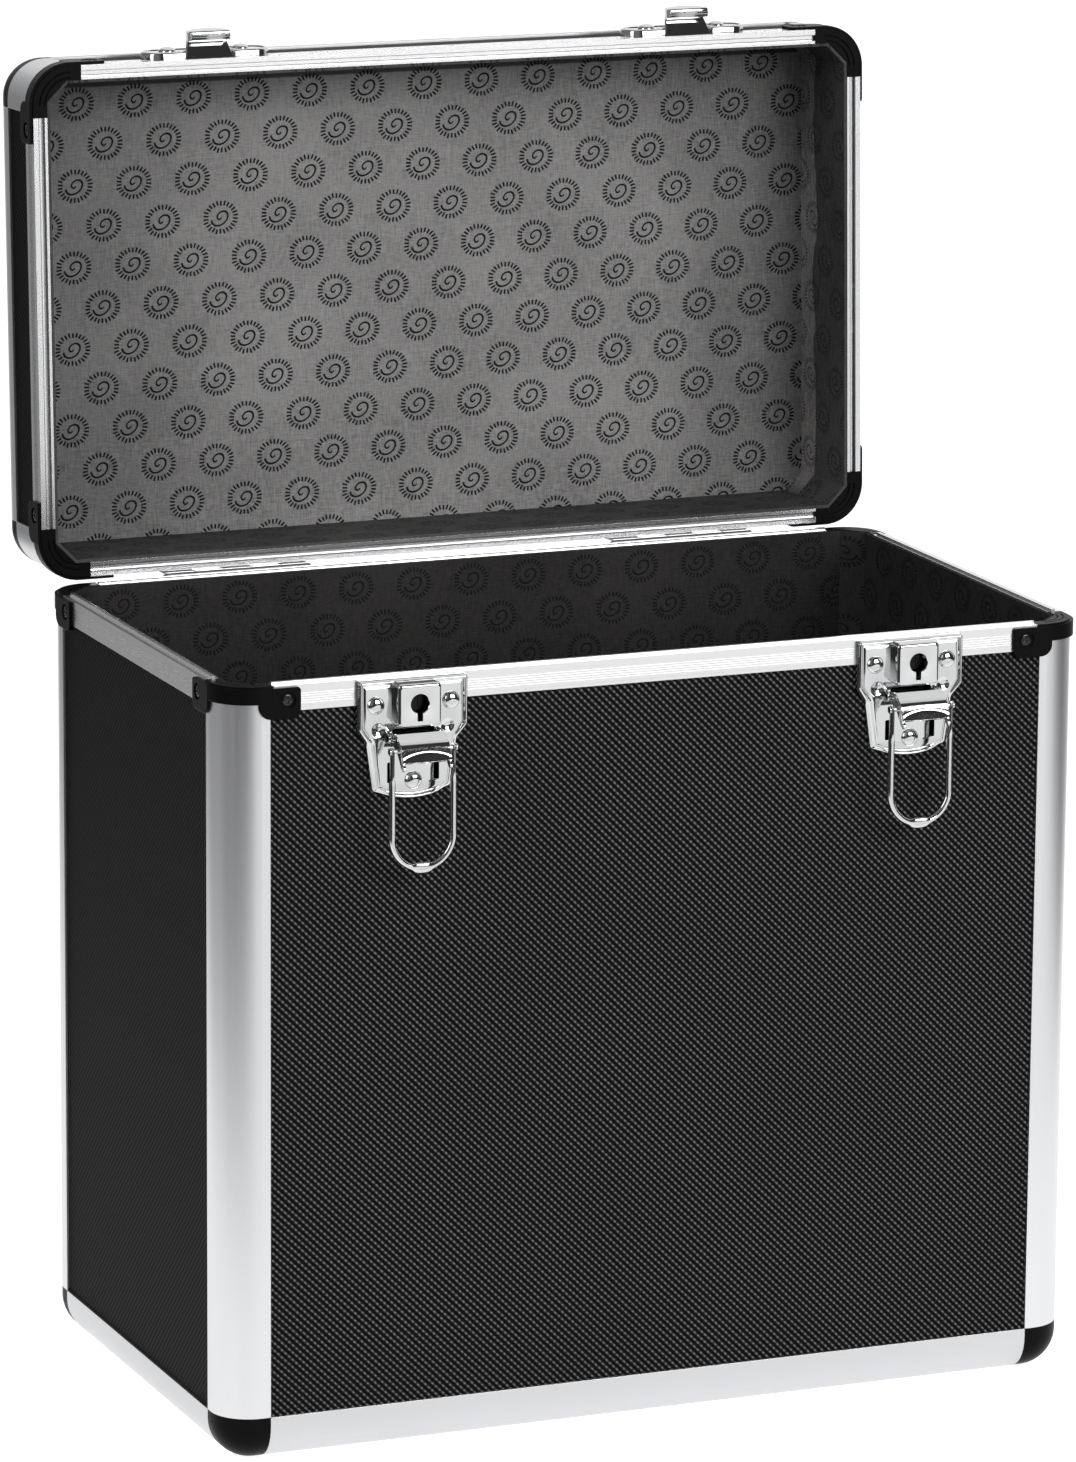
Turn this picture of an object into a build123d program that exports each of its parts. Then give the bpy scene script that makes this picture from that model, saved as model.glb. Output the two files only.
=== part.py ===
from build123d import *
import math
import os

# Record carrying case, millimetres. X runs along the front, -Y is the front, +Z is up.
# The origin is the centre of the base. The lid is drawn shut and then swung open on its hinge.

# ---- overall size -------------------------------------------------------------------------
CASE_WIDTH = 350.0
CASE_DEPTH = 200.0
BODY_HEIGHT = 299.0
LID_HEIGHT = 49.5
LID_GAP = 0.3
LID_OPEN_DEG = 92.3

# ---- boards, profiles and linings ---------------------------------------------------------
SKIN = 1.1
BOARD = 3.5
LIP = 1.1
WALL = SKIN + BOARD + LIP
EDGE_R = 15.2
INSIDE_R = 7.0
LEG = 18.5
POCKET = 5.0
WEB = 1.2
INNER_CHAMFER = 7.5
LINING = 1.2

# ---- rim rail -----------------------------------------------------------------------------
RAIL_H = 9.8
RAIL_WEB = 2.6
RAIL_END = 19.8
TONGUE_IN = 2.7
TONGUE_W = 1.5
TONGUE_H = 0.9
GROOVE_CLEAR = 0.4
GROOVE_DEEP = 1.6
BAND_LINE = 3.3
REED_FIRST = 4.2
REED_PITCH = 0.9
REED_COUNT = 4
REED_W = 0.4
REED_DEEP = 0.25

# ---- moulded rim corners and their screws -------------------------------------------------
PROUD = 1.2
BAND_TOP = 0.7
BAND_H = 6.5
EAR_IN = 13.8
EAR_OUT = 30.0
EAR_H = 12.3
EAR_R_OUT = 3.0
EAR_R_IN = 4.5
SCREW_X = 24.8
SCREW_Z = 5.4
SCREW_HEAD_R = 2.1
SCREW_SEAT_R = 3.3
SCREW_SEAT = 0.7
SCREW_HEAD_H = 0.6
SCREW_R = 1.2
SCREW_LEN = 4.4
HOLE_CLEAR = 0.05
EAR_R_TOP = 1.5
CORNER_GROOVES = (2.7, 4.8)
GROOVE_W = 0.5
INFILL_GAP = 0.3

# ---- rivets -------------------------------------------------------------------------------
RIVET_HEAD_R = 3.4
RIVET_HEAD_H = 1.6
RIVET_R = 1.5
CLENCH_R = 2.4
CLENCH_H = 0.8

# ---- hinges -------------------------------------------------------------------------------
HINGE_BACK = 3.05
HINGE_DROP = 1.7
HINGE_X = 95.0
HINGE_W = 60.0
HINGE_KNUCKLES = 5
KNUCKLE_R = 2.6
KNUCKLE_GAP = 0.3
HINGE_PIN_R = 1.2
RUN_CLEAR = 0.05
LEAF_T = 1.2
LEAF_H = 22.0
LEAF_RIVET_DROP = 16.5
LEAF_RIVET_X = 22.0
TAIL_LEN = 5.5

# ---- latches ------------------------------------------------------------------------------
LATCH_FROM_EDGE = 73.8
PLATE_T = 3.0
PLATE_SHEET = 1.0
PLATE_TOP = 0.5
PLATE_HALF = 21.8
PLATE_SHOULDER = 19.3
PLATE_WAIST = 18.1
PLATE_WAIST_DROP = 24.5
PLATE_FOOT = 15.6
PLATE_FOOT_DROP = 42.5
PLATE_LOW = 46.2
PLATE_RIVET_X = 14.9
PLATE_RIVET_DROP = 10.0
PLATE_LOW_RIVET_DROP = 39.2
PLATE_ROUND = 0.9
DIMPLE_X = 13.7
DIMPLE_R = 3.0
DIMPLE_DEEP = 0.5
LUG_IN = 10.1
LUG_R = 1.7
PIN_END = 0.5
PIN_SIDE_GAP = 0.1
LOCK_W = 17.2
LOCK_TOP = 1.2
LOCK_BOTTOM = 17.3
LOCK_OUT = 9.5
LOCK_SHEET = 1.0
LOCK_ROUND = 0.8
KEY_DROP = 8.9
KEY_R = 3.6
KEY_SLOT_W = 2.0
KEY_SLOT_END = 15.4
CAM_R = 3.3
CAM_IN = 3.6
CAM_OUT = 5.4
CAM_POST_R = 1.1
CAM_FACE = 0.6
CAM_REACH = 5.2
KEY_BIT = 2.0
LEVER_PIVOT_OUT = 4.8
LEVER_PIVOT_DROP = 22.0
BAIL_PIN_OUT = 12.2
BAIL_PIN_DROP = 25.5
LEVER_CLOSE_DEG = 60.0
LEVER_HALF = 9.8
LEVER_SHEET = 1.2
LEVER_PIN_R = 1.0
EAR_LUG_T = 1.0
LEVER_BOSS_R = 1.5
LEVER_START = (4.9, -19.3)
LEVER_KNEE = (7.2, -19.3)
LEVER_BELLY = (12.5, -21.5)
LEVER_NOSE = (14.7, -26.4)
LEVER_LIP = (14.4, -28.0)
LEVER_LIP_IN = (13.3, -28.0)
LEVER_NOSE_IN = (13.5, -26.4)
LEVER_BELLY_IN = (11.6, -22.4)
LEVER_KNEE_IN = (7.2, -20.5)
LEVER_START_IN = (4.9, -20.5)
CHEEK = (
    (4.0, -21.0), (4.9, -19.8), (7.3, -19.8), (12.2, -22.0),
    (14.1, -26.2), (13.2, -27.0), (11.4, -26.8), (4.4, -23.3),
)
HOOK = (
    (11.0, -25.2), (13.6, -24.6), (15.1, -27.4), (16.9, -29.7), (18.2, -31.0),
    (16.6, -32.7), (14.9, -31.2), (13.1, -28.8),
)
BAIL_HALF = 12.1
BAIL_WIRE_R = 1.25
BAIL_LEN = 44.9
BAIL_FLAT_END = 12.4
BAIL_FLAT_T = 1.3
BAIL_PIN_R = 0.9
BAIL_EYE_R = 1.9
BAIL_SWING_DEG = 177.0
BAIL_PRESS = 0.4
BAIL_PRESS_HALF = 4.5
HOOK_SLOT_X = 9.2
HOOK_SLOT_W = 2.2
HOOK_SLOT_TOP = 31.8
HOOK_SLOT_END = 39.6

# ---- lid catches --------------------------------------------------------------------------
CATCH_HALF = 26.0
CATCH_Z0 = 2.0
CATCH_Z1 = 17.0
CATCH_R = 7.0
CATCH_T = 3.0
CATCH_RIVET_X = 15.1
CATCH_RIVET_Z = 10.5
HUMP_HALF = 8.3
HUMP_OUT = 10.8
BAIL_CATCH_GAP = 0.3
HUMP_ROUND = 0.8
RAMP_HALF = 10.9
RAMP_OUT = 6.0
RAMP_DEEP = 3.0

# ---- handle -------------------------------------------------------------------------------
HANDLE_HALF = 58.0
HANDLE_PIVOT_H = 8.2
HANDLE_REACH = 33.0
GRIP_RX = 8.5
GRIP_RY = 7.0
GRIP_ROUND = 5.0
BRACKET_W = 34.0
BRACKET_L = 18.0
BRACKET_SHEET = 1.5
HANDLE_PIN_R = 2.5
BRACKET_GAP = 0.4
BRACKET_LUG = 5.0
BRACKET_ROUND = 3.0
BRACKET_RIVET_X = 12.5
ARM_HALF = 5.5
ARM_R = 6.0

HALF_W = CASE_WIDTH / 2
HALF_D = CASE_DEPTH / 2
LATCH_X = HALF_W - LATCH_FROM_EDGE
LID_BASE = BODY_HEIGHT + LID_GAP
LID_TOP = LID_BASE + LID_HEIGHT
HINGE_Y = HALF_D + HINGE_BACK
HINGE_Z = BODY_HEIGHT - HINGE_DROP
PANEL_END = LEG - POCKET
LINING_IN = WALL + LINING
LINING_CUT_OUT = INNER_CHAMFER + LINING * (2 - math.sqrt(2))
PANEL_BACK = SKIN + BOARD

# Face planes: local x runs along the case, local y is up, local z points out of the face.
FRONT = Plane(origin=(0, -HALF_D, BODY_HEIGHT), x_dir=(1, 0, 0), z_dir=(0, -1, 0)).location
REAR = Plane(origin=(0, HALF_D, BODY_HEIGHT), x_dir=(-1, 0, 0), z_dir=(0, 1, 0)).location
LID_FRONT = Plane(origin=(0, -HALF_D, LID_BASE), x_dir=(1, 0, 0), z_dir=(0, -1, 0)).location
LID_REAR = Plane(origin=(0, HALF_D, LID_BASE), x_dir=(-1, 0, 0), z_dir=(0, 1, 0)).location
LID_FACE = Pos(0, 0, LID_TOP - SKIN)
HINGE_AXIS = Pos(0, HINGE_Y, HINGE_Z)
SWUNG = HINGE_AXIS * Rot(-LID_OPEN_DEG, 0, 0) * HINGE_AXIS.inverse()
CORNER_DIAGONAL = Plane(origin=(-HALF_W, -HALF_D, 0), z_dir=(1, -1, 0))
RIM_MIRROR = Plane.XY.offset((BODY_HEIGHT + LID_BASE) / 2)
END_MIRROR = Plane.XY.offset(LID_TOP / 2)


# ---- helpers ------------------------------------------------------------------------------
def block(x0, x1, y0, y1, z0, z1):
    return Pos((x0 + x1) / 2, (y0 + y1) / 2, (z0 + z1) / 2) * Box(x1 - x0, y1 - y0, z1 - z0)


def rod(x, y, z0, z1, radius):
    """Cylinder standing along local z."""
    return Pos(x, y, (z0 + z1) / 2) * Cylinder(radius, z1 - z0)


def rod_x(y, z, x0, x1, radius):
    """Cylinder lying along x."""
    return Pos((x0 + x1) / 2, y, z) * Rot(0, 90, 0) * Cylinder(radius, x1 - x0)


def drawn_on(plane, face, length):
    """Extrude a face drawn in a plane along that plane's normal."""
    return extrude(plane * face, amount=length, dir=plane.z_dir)


def across(face, x0, x1):
    """Extrude a face drawn as (out, up) from x1 back to x0 in a face frame."""
    plane = Plane(origin=(x1, 0, 0), x_dir=(0, 0, 1), z_dir=(-1, 0, 0))
    return drawn_on(plane, face, x1 - x0)


def ring_of_corners(piece):
    """The same piece on all four upright edges."""
    other = mirror(piece, Plane.YZ)
    return [piece, other, mirror(piece, Plane.XZ), mirror(other, Plane.XZ)]


def front_and_rear(piece):
    return [piece, mirror(piece, Plane.XZ)]


def left_and_right(piece):
    return [piece, mirror(piece, Plane.YZ)]


def both_latches(piece):
    return [Pos(-LATCH_X, 0, 0) * piece, Pos(LATCH_X, 0, 0) * piece]


def solids_of(pieces):
    found = []
    for piece in pieces:
        found.extend(piece.solids())
    return found


def cut_all(piece, tools):
    for tool in tools:
        piece = piece - tool
    return piece


def octagon(inset, cut, z0, z1):
    """Plan of the case set in from its faces, with the upright corners cut off."""
    x = HALF_W - inset
    y = HALF_D - inset
    points = [
        (x - cut, -y), (x, -y + cut), (x, y - cut), (x - cut, y),
        (-x + cut, y), (-x, y - cut), (-x, -y + cut), (-x + cut, -y),
    ]
    return drawn_on(Plane.XY.offset(z0), Polygon(*points, align=None), z1 - z0)


# ---- rivets and screws --------------------------------------------------------------------
def rivet(x, y, face):
    """Dome-headed rivet whose head sits on the plane z = face and clenches behind the board."""
    ball_r = (RIVET_HEAD_R ** 2 + RIVET_HEAD_H ** 2) / (2 * RIVET_HEAD_H)
    dome = Pos(x, y, face + RIVET_HEAD_H - ball_r) * Sphere(ball_r)
    dome = dome & block(x - ball_r, x + ball_r, y - ball_r, y + ball_r, face, face + ball_r)
    shank = rod(x, y, -PANEL_BACK, face + RIVET_HEAD_H / 2, RIVET_R)
    clench = rod(x, y, -PANEL_BACK - CLENCH_H, -PANEL_BACK, CLENCH_R)
    return dome + shank + clench


def rivet_hole(x, y, face):
    shank = rod(x, y, -PANEL_BACK, face + RIVET_HEAD_H, RIVET_R + HOLE_CLEAR)
    return shank + rod(x, y, -WALL, -PANEL_BACK, CLENCH_R + HOLE_CLEAR)


def latch_rivet_spots():
    upper = [(side * PLATE_RIVET_X, -PLATE_RIVET_DROP) for side in (-1, 1)]
    return upper + [(0, -PLATE_LOW_RIVET_DROP)]


def catch_rivet_spots():
    return [(side * CATCH_RIVET_X, CATCH_RIVET_Z) for side in (-1, 1)]


def leaf_rivet_spots(height):
    spots = []
    for hinge_x in (-HINGE_X, HINGE_X):
        for shift in (-LEAF_RIVET_X, 0, LEAF_RIVET_X):
            spots.append((hinge_x + shift, height))
    return spots


def latch_holes():
    tools = [FRONT * rivet_hole(x, y, PLATE_T) for x, y in latch_rivet_spots()]
    return [moved for tool in tools for moved in both_latches(tool)]


def catch_holes():
    tools = [LID_FRONT * rivet_hole(x, y, CATCH_T) for x, y in catch_rivet_spots()]
    return [moved for tool in tools for moved in both_latches(tool)]


def body_leaf_holes():
    return [REAR * rivet_hole(x, y, LEAF_T) for x, y in leaf_rivet_spots(-LEAF_RIVET_DROP)]


def lid_leaf_holes():
    return [LID_REAR * rivet_hole(x, y, LEAF_T) for x, y in leaf_rivet_spots(LEAF_RIVET_DROP)]


def corner_screw():
    """Screw sunk in the front ear of the left front rim corner."""
    x = -HALF_W + SCREW_X
    seat = PROUD - SCREW_SEAT
    head = rod(x, -SCREW_Z, seat, seat + SCREW_HEAD_H, SCREW_HEAD_R)
    return FRONT * (head + rod(x, -SCREW_Z, seat - SCREW_LEN, seat, SCREW_R))


def corner_screw_hole():
    x = -HALF_W + SCREW_X
    seat = PROUD - SCREW_SEAT
    return FRONT * rod(x, -SCREW_Z, seat - SCREW_LEN, PROUD, SCREW_R + HOLE_CLEAR)


def corner_screws():
    front = corner_screw()
    side = mirror(front, CORNER_DIAGONAL)
    return solids_of(ring_of_corners(front) + ring_of_corners(side))


def corner_screw_holes():
    front = corner_screw_hole()
    side = mirror(front, CORNER_DIAGONAL)
    return ring_of_corners(front) + ring_of_corners(side)


def for_lid(pieces):
    """The same pieces turned upside down about the rim."""
    return [mirror(piece, RIM_MIRROR) for piece in pieces]


# ---- boards -------------------------------------------------------------------------------
def wall_board(half_along, half_across, z0, z1):
    return block(-half_along + PANEL_END, half_along - PANEL_END,
                 -half_across + SKIN, -half_across + PANEL_BACK, z0, z1)


def long_board(z0, z1):
    return wall_board(HALF_W, HALF_D, z0, z1)


def short_board(z0, z1):
    return Rot(0, 0, -90) * wall_board(HALF_D, HALF_W, z0, z1)


def end_board(z0, z1):
    return block(-HALF_W + PANEL_END, HALF_W - PANEL_END,
                 -HALF_D + PANEL_END, HALF_D - PANEL_END, z0, z1)


BODY_BOARD = (PANEL_END, BODY_HEIGHT - RAIL_WEB)
LID_BOARD = (LID_BASE + RAIL_WEB, LID_TOP - PANEL_END)


def body_boards():
    screws = corner_screw_holes()
    front = cut_all(long_board(*BODY_BOARD), latch_holes() + screws)
    rear = cut_all(mirror(long_board(*BODY_BOARD), Plane.XZ), body_leaf_holes() + screws)
    left = cut_all(short_board(*BODY_BOARD), screws)
    right = mirror(left, Plane.YZ)
    return {"front": front, "rear": rear, "left": left, "right": right,
            "bottom": end_board(SKIN, PANEL_BACK)}


def lid_boards():
    screws = for_lid(corner_screw_holes())
    front = cut_all(long_board(*LID_BOARD), catch_holes() + screws)
    rear = cut_all(mirror(long_board(*LID_BOARD), Plane.XZ), lid_leaf_holes() + screws)
    left = cut_all(short_board(*LID_BOARD), screws)
    right = mirror(left, Plane.YZ)
    top = cut_all(end_board(LID_TOP - PANEL_BACK, LID_TOP - SKIN), bracket_holes())
    return {"front": front, "rear": rear, "left": left, "right": right, "top": top}


# ---- edge profiles ------------------------------------------------------------------------
def profile_section(round_inside):
    """Rounded corner section with a pocket for a board in each leg, corner at (0, 0)."""
    arc_mid = EDGE_R * (1 - math.sqrt(0.5))
    bend = WALL + INSIDE_R
    inside_mid = bend - INSIDE_R * math.sqrt(0.5)
    outer = Polyline((LEG, 0), (EDGE_R, 0)) + ThreePointArc((EDGE_R, 0), (arc_mid, arc_mid), (0, EDGE_R))
    upper = Polyline((0, EDGE_R), (0, LEG), (SKIN, LEG), (SKIN, PANEL_END), (PANEL_BACK, PANEL_END),
                     (PANEL_BACK, LEG), (WALL, LEG), (WALL, bend))
    lower = Polyline((bend, WALL), (LEG, WALL), (LEG, PANEL_BACK), (PANEL_END, PANEL_BACK),
                     (PANEL_END, SKIN), (LEG, SKIN), (LEG, 0))
    if round_inside:
        inner = ThreePointArc((WALL, bend), (inside_mid, inside_mid), (bend, WALL))
    else:
        inner = Polyline((WALL, bend), (WALL, WALL), (bend, WALL))
    return make_face(outer + upper + inner + lower)


def upright_profile(z0, z1):
    plane = Plane(origin=(-HALF_W, -HALF_D, z0))
    return drawn_on(plane, profile_section(True), z1 - z0)


def long_edge_profile():
    half = HALF_W - LEG
    plane = Plane(origin=(-half, -HALF_D, 0), x_dir=(0, 1, 0), z_dir=(1, 0, 0))
    return drawn_on(plane, profile_section(False), 2 * half)


def short_edge_profile():
    half = HALF_D - LEG
    plane = Plane(origin=(-HALF_W, half, 0), x_dir=(1, 0, 0), z_dir=(0, -1, 0))
    return drawn_on(plane, profile_section(False), 2 * half)


def chamfer_prism(z0, z1):
    """Infill of an upright inside corner up to the back of the lining's corner strip."""
    reach = LINING_CUT_OUT - INFILL_GAP
    corner = Polygon((WALL, WALL), (WALL + reach, WALL), (WALL, WALL + reach), align=None)
    return drawn_on(Plane(origin=(-HALF_W, -HALF_D, z0)), corner, z1 - z0)


def ball_corner():
    x = -HALF_W
    y = -HALF_D
    body = block(x, x + 2 * LEG, y, y + 2 * LEG, 0, 2 * LEG)
    meeting = [
        body.edges().filter_by(Axis.X).sort_by(Axis.Z).sort_by(Axis.Y)[0:2].sort_by(Axis.Z)[0],
        body.edges().filter_by(Axis.Y).sort_by(Axis.Z).sort_by(Axis.X)[0:2].sort_by(Axis.Z)[0],
        body.edges().filter_by(Axis.Z).sort_by(Axis.X).sort_by(Axis.Y)[0:2].sort_by(Axis.X)[0],
    ]
    body = fillet(meeting, EDGE_R)
    body = body & block(x, x + LEG, y, y + LEG, 0, LEG)
    cavity = block(x + WALL, x + 2 * LEG, y + WALL, y + 2 * LEG, WALL, 2 * LEG) - chamfer_prism(0, 2 * LEG)
    body = body - cavity
    return cut_all(body, [long_board(*BODY_BOARD), short_board(*BODY_BOARD), end_board(SKIN, PANEL_BACK)])


# ---- rim rails ----------------------------------------------------------------------------
def rail_section(lid):
    """(depth from the outer face, distance from the rim plane) outline of a rim rail."""
    if lid:
        rim = [(TONGUE_IN - GROOVE_CLEAR, 0), (TONGUE_IN - GROOVE_CLEAR, GROOVE_DEEP),
               (TONGUE_IN + TONGUE_W + GROOVE_CLEAR, GROOVE_DEEP), (TONGUE_IN + TONGUE_W + GROOVE_CLEAR, 0)]
    else:
        rim = [(TONGUE_IN, 0), (TONGUE_IN, -TONGUE_H),
               (TONGUE_IN + TONGUE_W, -TONGUE_H), (TONGUE_IN + TONGUE_W, 0)]
    channel = [(WALL, 0), (WALL, RAIL_H), (PANEL_BACK, RAIL_H), (PANEL_BACK, RAIL_WEB),
               (SKIN, RAIL_WEB), (SKIN, RAIL_H), (0, RAIL_H)]
    reeds = [BAND_LINE] + [REED_FIRST + REED_PITCH * step for step in range(REED_COUNT)]
    face = []
    for middle in reversed(reeds):
        lower = middle + REED_W / 2
        upper = middle - REED_W / 2
        face += [(0, lower), (REED_DEEP, lower), (REED_DEEP, upper), (0, upper)]
    return [(0, 0)] + rim + channel + face


def rail(half_along, half_across, lid):
    up = 1 if lid else -1
    plane_z = LID_BASE if lid else BODY_HEIGHT
    points = [(-half_across + depth, plane_z + up * drop) for depth, drop in rail_section(lid)]
    half = half_along - RAIL_END
    plane = Plane(origin=(-half, 0, 0), x_dir=(0, 1, 0), z_dir=(1, 0, 0))
    return drawn_on(plane, Polygon(*points, align=None), 2 * half)


def rim_rails(lid):
    screws = corner_screw_holes()
    front_holes = latch_holes()
    rear_holes = body_leaf_holes()
    if lid:
        screws = for_lid(screws)
        front_holes = catch_holes()
        rear_holes = lid_leaf_holes()
    long_rail = cut_all(rail(HALF_W, HALF_D, lid), screws)
    short_rail = cut_all(Rot(0, 0, -90) * rail(HALF_D, HALF_W, lid), screws)
    return {"front": cut_all(long_rail, front_holes),
            "rear": cut_all(mirror(long_rail, Plane.XZ), rear_holes),
            "left": short_rail, "right": mirror(short_rail, Plane.YZ)}


# ---- moulded rim corners ------------------------------------------------------------------
def corner_ear():
    """Ear lying on the front rail of the left front corner, filled back to the board below it."""
    x0 = -HALF_W + EAR_IN
    x1 = -HALF_W + EAR_OUT
    ear = block(x0, x1, -EAR_H, -BAND_TOP, -SKIN, PROUD)
    upright = ear.edges().filter_by(Axis.Z)
    ear = fillet(upright.sort_by(Axis.Y)[0:2].sort_by(Axis.X)[0], EAR_R_IN)
    corner = ear.edges().filter_by(Axis.Z).filter_by(lambda edge: edge.center().X > x1 - 0.01)
    ear = fillet(corner.sort_by(Axis.Y)[0], EAR_R_OUT)
    corner = ear.edges().filter_by(Axis.Z).filter_by(lambda edge: edge.center().X > x1 - 0.01)
    ear = fillet(corner.sort_by(Axis.Y)[-1], EAR_R_TOP)
    over_profile = block(-HALF_W - 1, -HALF_W + LEG, -EAR_H - 1, -BAND_H, -WALL, 0)
    over_rail = block(-HALF_W + RAIL_END, x1 + 1, -RAIL_H, 1, -WALL, 0)
    screw_seat = rod(-HALF_W + SCREW_X, -SCREW_Z, PROUD - SCREW_SEAT, PROUD, SCREW_SEAT_R)
    return FRONT * (ear - over_profile - over_rail - screw_seat)


def corner_core():
    """Solid filling of the rim between two rail ends, with the raised band round the outside."""
    arc_mid = EDGE_R * (1 - math.sqrt(0.5))
    proud_mid = EDGE_R - (EDGE_R + PROUD) * math.sqrt(0.5)
    reach = WALL + LINING_CUT_OUT - INFILL_GAP
    outline = Polyline((RAIL_END, 0), (EDGE_R, 0))
    outline += ThreePointArc((EDGE_R, 0), (arc_mid, arc_mid), (0, EDGE_R))
    outline += Polyline((0, EDGE_R), (0, RAIL_END), (WALL, RAIL_END), (WALL, reach), (reach, WALL),
                        (RAIL_END, WALL), (RAIL_END, 0))
    low = Plane(origin=(-HALF_W, -HALF_D, BODY_HEIGHT - BAND_H))
    core = drawn_on(low, make_face(outline), BAND_H)
    band = Polyline((EDGE_R, -PROUD), (EDGE_R, SKIN), (SKIN, EDGE_R), (-PROUD, EDGE_R))
    band += ThreePointArc((-PROUD, EDGE_R), (proud_mid, proud_mid), (EDGE_R, -PROUD))
    ridge = drawn_on(low, make_face(band), BAND_H - BAND_TOP)
    return core + ridge


def corner_grooves():
    """Two fine grooves round the rim face of the corner, following its curve."""
    grooves = []
    for depth in CORNER_GROOVES:
        outer = EDGE_R - depth + GROOVE_W / 2
        centre = Pos(-HALF_W + EDGE_R, -HALF_D + EDGE_R, BODY_HEIGHT - GROOVE_W / 2)
        ring = Cylinder(outer, GROOVE_W) - Cylinder(outer - GROOVE_W, GROOVE_W)
        quarter = Pos(-EDGE_R, -EDGE_R, 0) * Box(2 * EDGE_R, 2 * EDGE_R, 2 * GROOVE_W)
        grooves.append(centre * (ring & quarter))
    return grooves


def rim_corner():
    ear = corner_ear()
    piece = corner_core() + ear + mirror(ear, CORNER_DIAGONAL)
    tools = [long_board(*BODY_BOARD), short_board(*BODY_BOARD), corner_screw_hole(),
             mirror(corner_screw_hole(), CORNER_DIAGONAL)]
    return cut_all(piece, tools + corner_grooves())


# ---- latches ------------------------------------------------------------------------------
def plate_outline(inset):
    """Outline of the pressed latch plate, shrunk by inset."""
    points = [(PLATE_HALF, -PLATE_TOP), (PLATE_HALF, -PLATE_SHOULDER), (PLATE_WAIST, -PLATE_WAIST_DROP),
              (PLATE_FOOT, -PLATE_FOOT_DROP)]
    mirrored = [(-x, y) for x, y in reversed(points)]
    path = Polyline(*mirrored, *points)
    path += ThreePointArc(points[-1], (0, -PLATE_LOW), mirrored[0])
    face = make_face(path)
    if inset:
        face = offset(face, amount=-inset, kind=Kind.INTERSECTION)
    return face


def latch_plate():
    pan = drawn_on(Plane.XY.offset(-SKIN), plate_outline(0), PLATE_T + SKIN)
    pan -= drawn_on(Plane.XY.offset(-WALL), plate_outline(PLATE_SHEET), PLATE_T + WALL - PLATE_SHEET)
    pan -= block(-CASE_WIDTH, CASE_WIDTH, -RAIL_H, RAIL_H, -WALL, 0)
    front_face = pan.faces().sort_by(Axis.Z)[-1]
    pan = fillet(front_face.edges(), PLATE_ROUND)
    for side in (-1, 1):
        x = side * (LUG_IN + EAR_LUG_T / 2)
        lug = block(x - EAR_LUG_T / 2, x + EAR_LUG_T / 2, -LEVER_PIVOT_DROP - LUG_R, -LEVER_PIVOT_DROP + LUG_R,
                    PLATE_T - PLATE_SHEET, LEVER_PIVOT_OUT)
        lug += rod_x(-LEVER_PIVOT_DROP, LEVER_PIVOT_OUT, x - EAR_LUG_T / 2, x + EAR_LUG_T / 2, LUG_R)
        slot = block(side * HOOK_SLOT_X - HOOK_SLOT_W / 2, side * HOOK_SLOT_X + HOOK_SLOT_W / 2,
                     -HOOK_SLOT_END, -HOOK_SLOT_TOP, 0, PLATE_T)
        dimple = Pos(side * DIMPLE_X, -PLATE_SHOULDER, PLATE_T + DIMPLE_R - DIMPLE_DEEP) * Sphere(DIMPLE_R)
        pan = pan + lug - slot - dimple
    pan += rod(0, -KEY_DROP, PLATE_T - PLATE_SHEET, CAM_OUT - CAM_FACE, CAM_POST_R)
    pan -= rod_x(-LEVER_PIVOT_DROP, LEVER_PIVOT_OUT, -PLATE_HALF, PLATE_HALF, LEVER_PIN_R)
    holes = [rod(x, y, 0, PLATE_T, RIVET_R + HOLE_CLEAR) for x, y in latch_rivet_spots()]
    return FRONT * cut_all(pan, holes)


def lock_case():
    half = LOCK_W / 2
    case = block(-half, half, -LOCK_BOTTOM, -LOCK_TOP, PLATE_T, LOCK_OUT)
    front_face = case.faces().sort_by(Axis.Z)[-1]
    case = fillet(case.edges().filter_by(Axis.Z) + front_face.edges(), LOCK_ROUND)
    case -= block(-half + LOCK_SHEET, half - LOCK_SHEET, -LOCK_BOTTOM + LOCK_SHEET,
                  -LOCK_TOP - LOCK_SHEET, PLATE_T, LOCK_OUT - LOCK_SHEET)
    case -= rod(0, -KEY_DROP, PLATE_T, LOCK_OUT, KEY_R)
    case -= block(-KEY_SLOT_W / 2, KEY_SLOT_W / 2, -KEY_SLOT_END, -KEY_DROP, LOCK_OUT - LOCK_SHEET, LOCK_OUT)
    return FRONT * case


def lock_cam():
    cam = rod(0, -KEY_DROP, CAM_IN, CAM_OUT, CAM_R)
    cam += block(-CAM_POST_R, CAM_POST_R, -KEY_DROP, -KEY_DROP + CAM_REACH, CAM_IN, CAM_OUT - CAM_FACE)
    cam -= rod(0, -KEY_DROP, CAM_IN, CAM_OUT - CAM_FACE, CAM_POST_R + RUN_CLEAR)
    cam -= block(-KEY_SLOT_W / 4, KEY_SLOT_W / 4, -KEY_DROP - KEY_BIT, -KEY_DROP + KEY_BIT,
                 CAM_OUT - CAM_FACE / 2, CAM_OUT)
    return FRONT * cam


def lever_outline():
    """Side view (out, up) of the bent lever sheet."""
    edge = Polyline(LEVER_START, LEVER_KNEE)
    edge += ThreePointArc(LEVER_KNEE, LEVER_BELLY, LEVER_NOSE)
    edge += Polyline(LEVER_NOSE, LEVER_LIP, LEVER_LIP_IN, LEVER_NOSE_IN)
    edge += ThreePointArc(LEVER_NOSE_IN, LEVER_BELLY_IN, LEVER_KNEE_IN)
    edge += Polyline(LEVER_KNEE_IN, LEVER_START_IN, LEVER_START)
    return make_face(edge)


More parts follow.
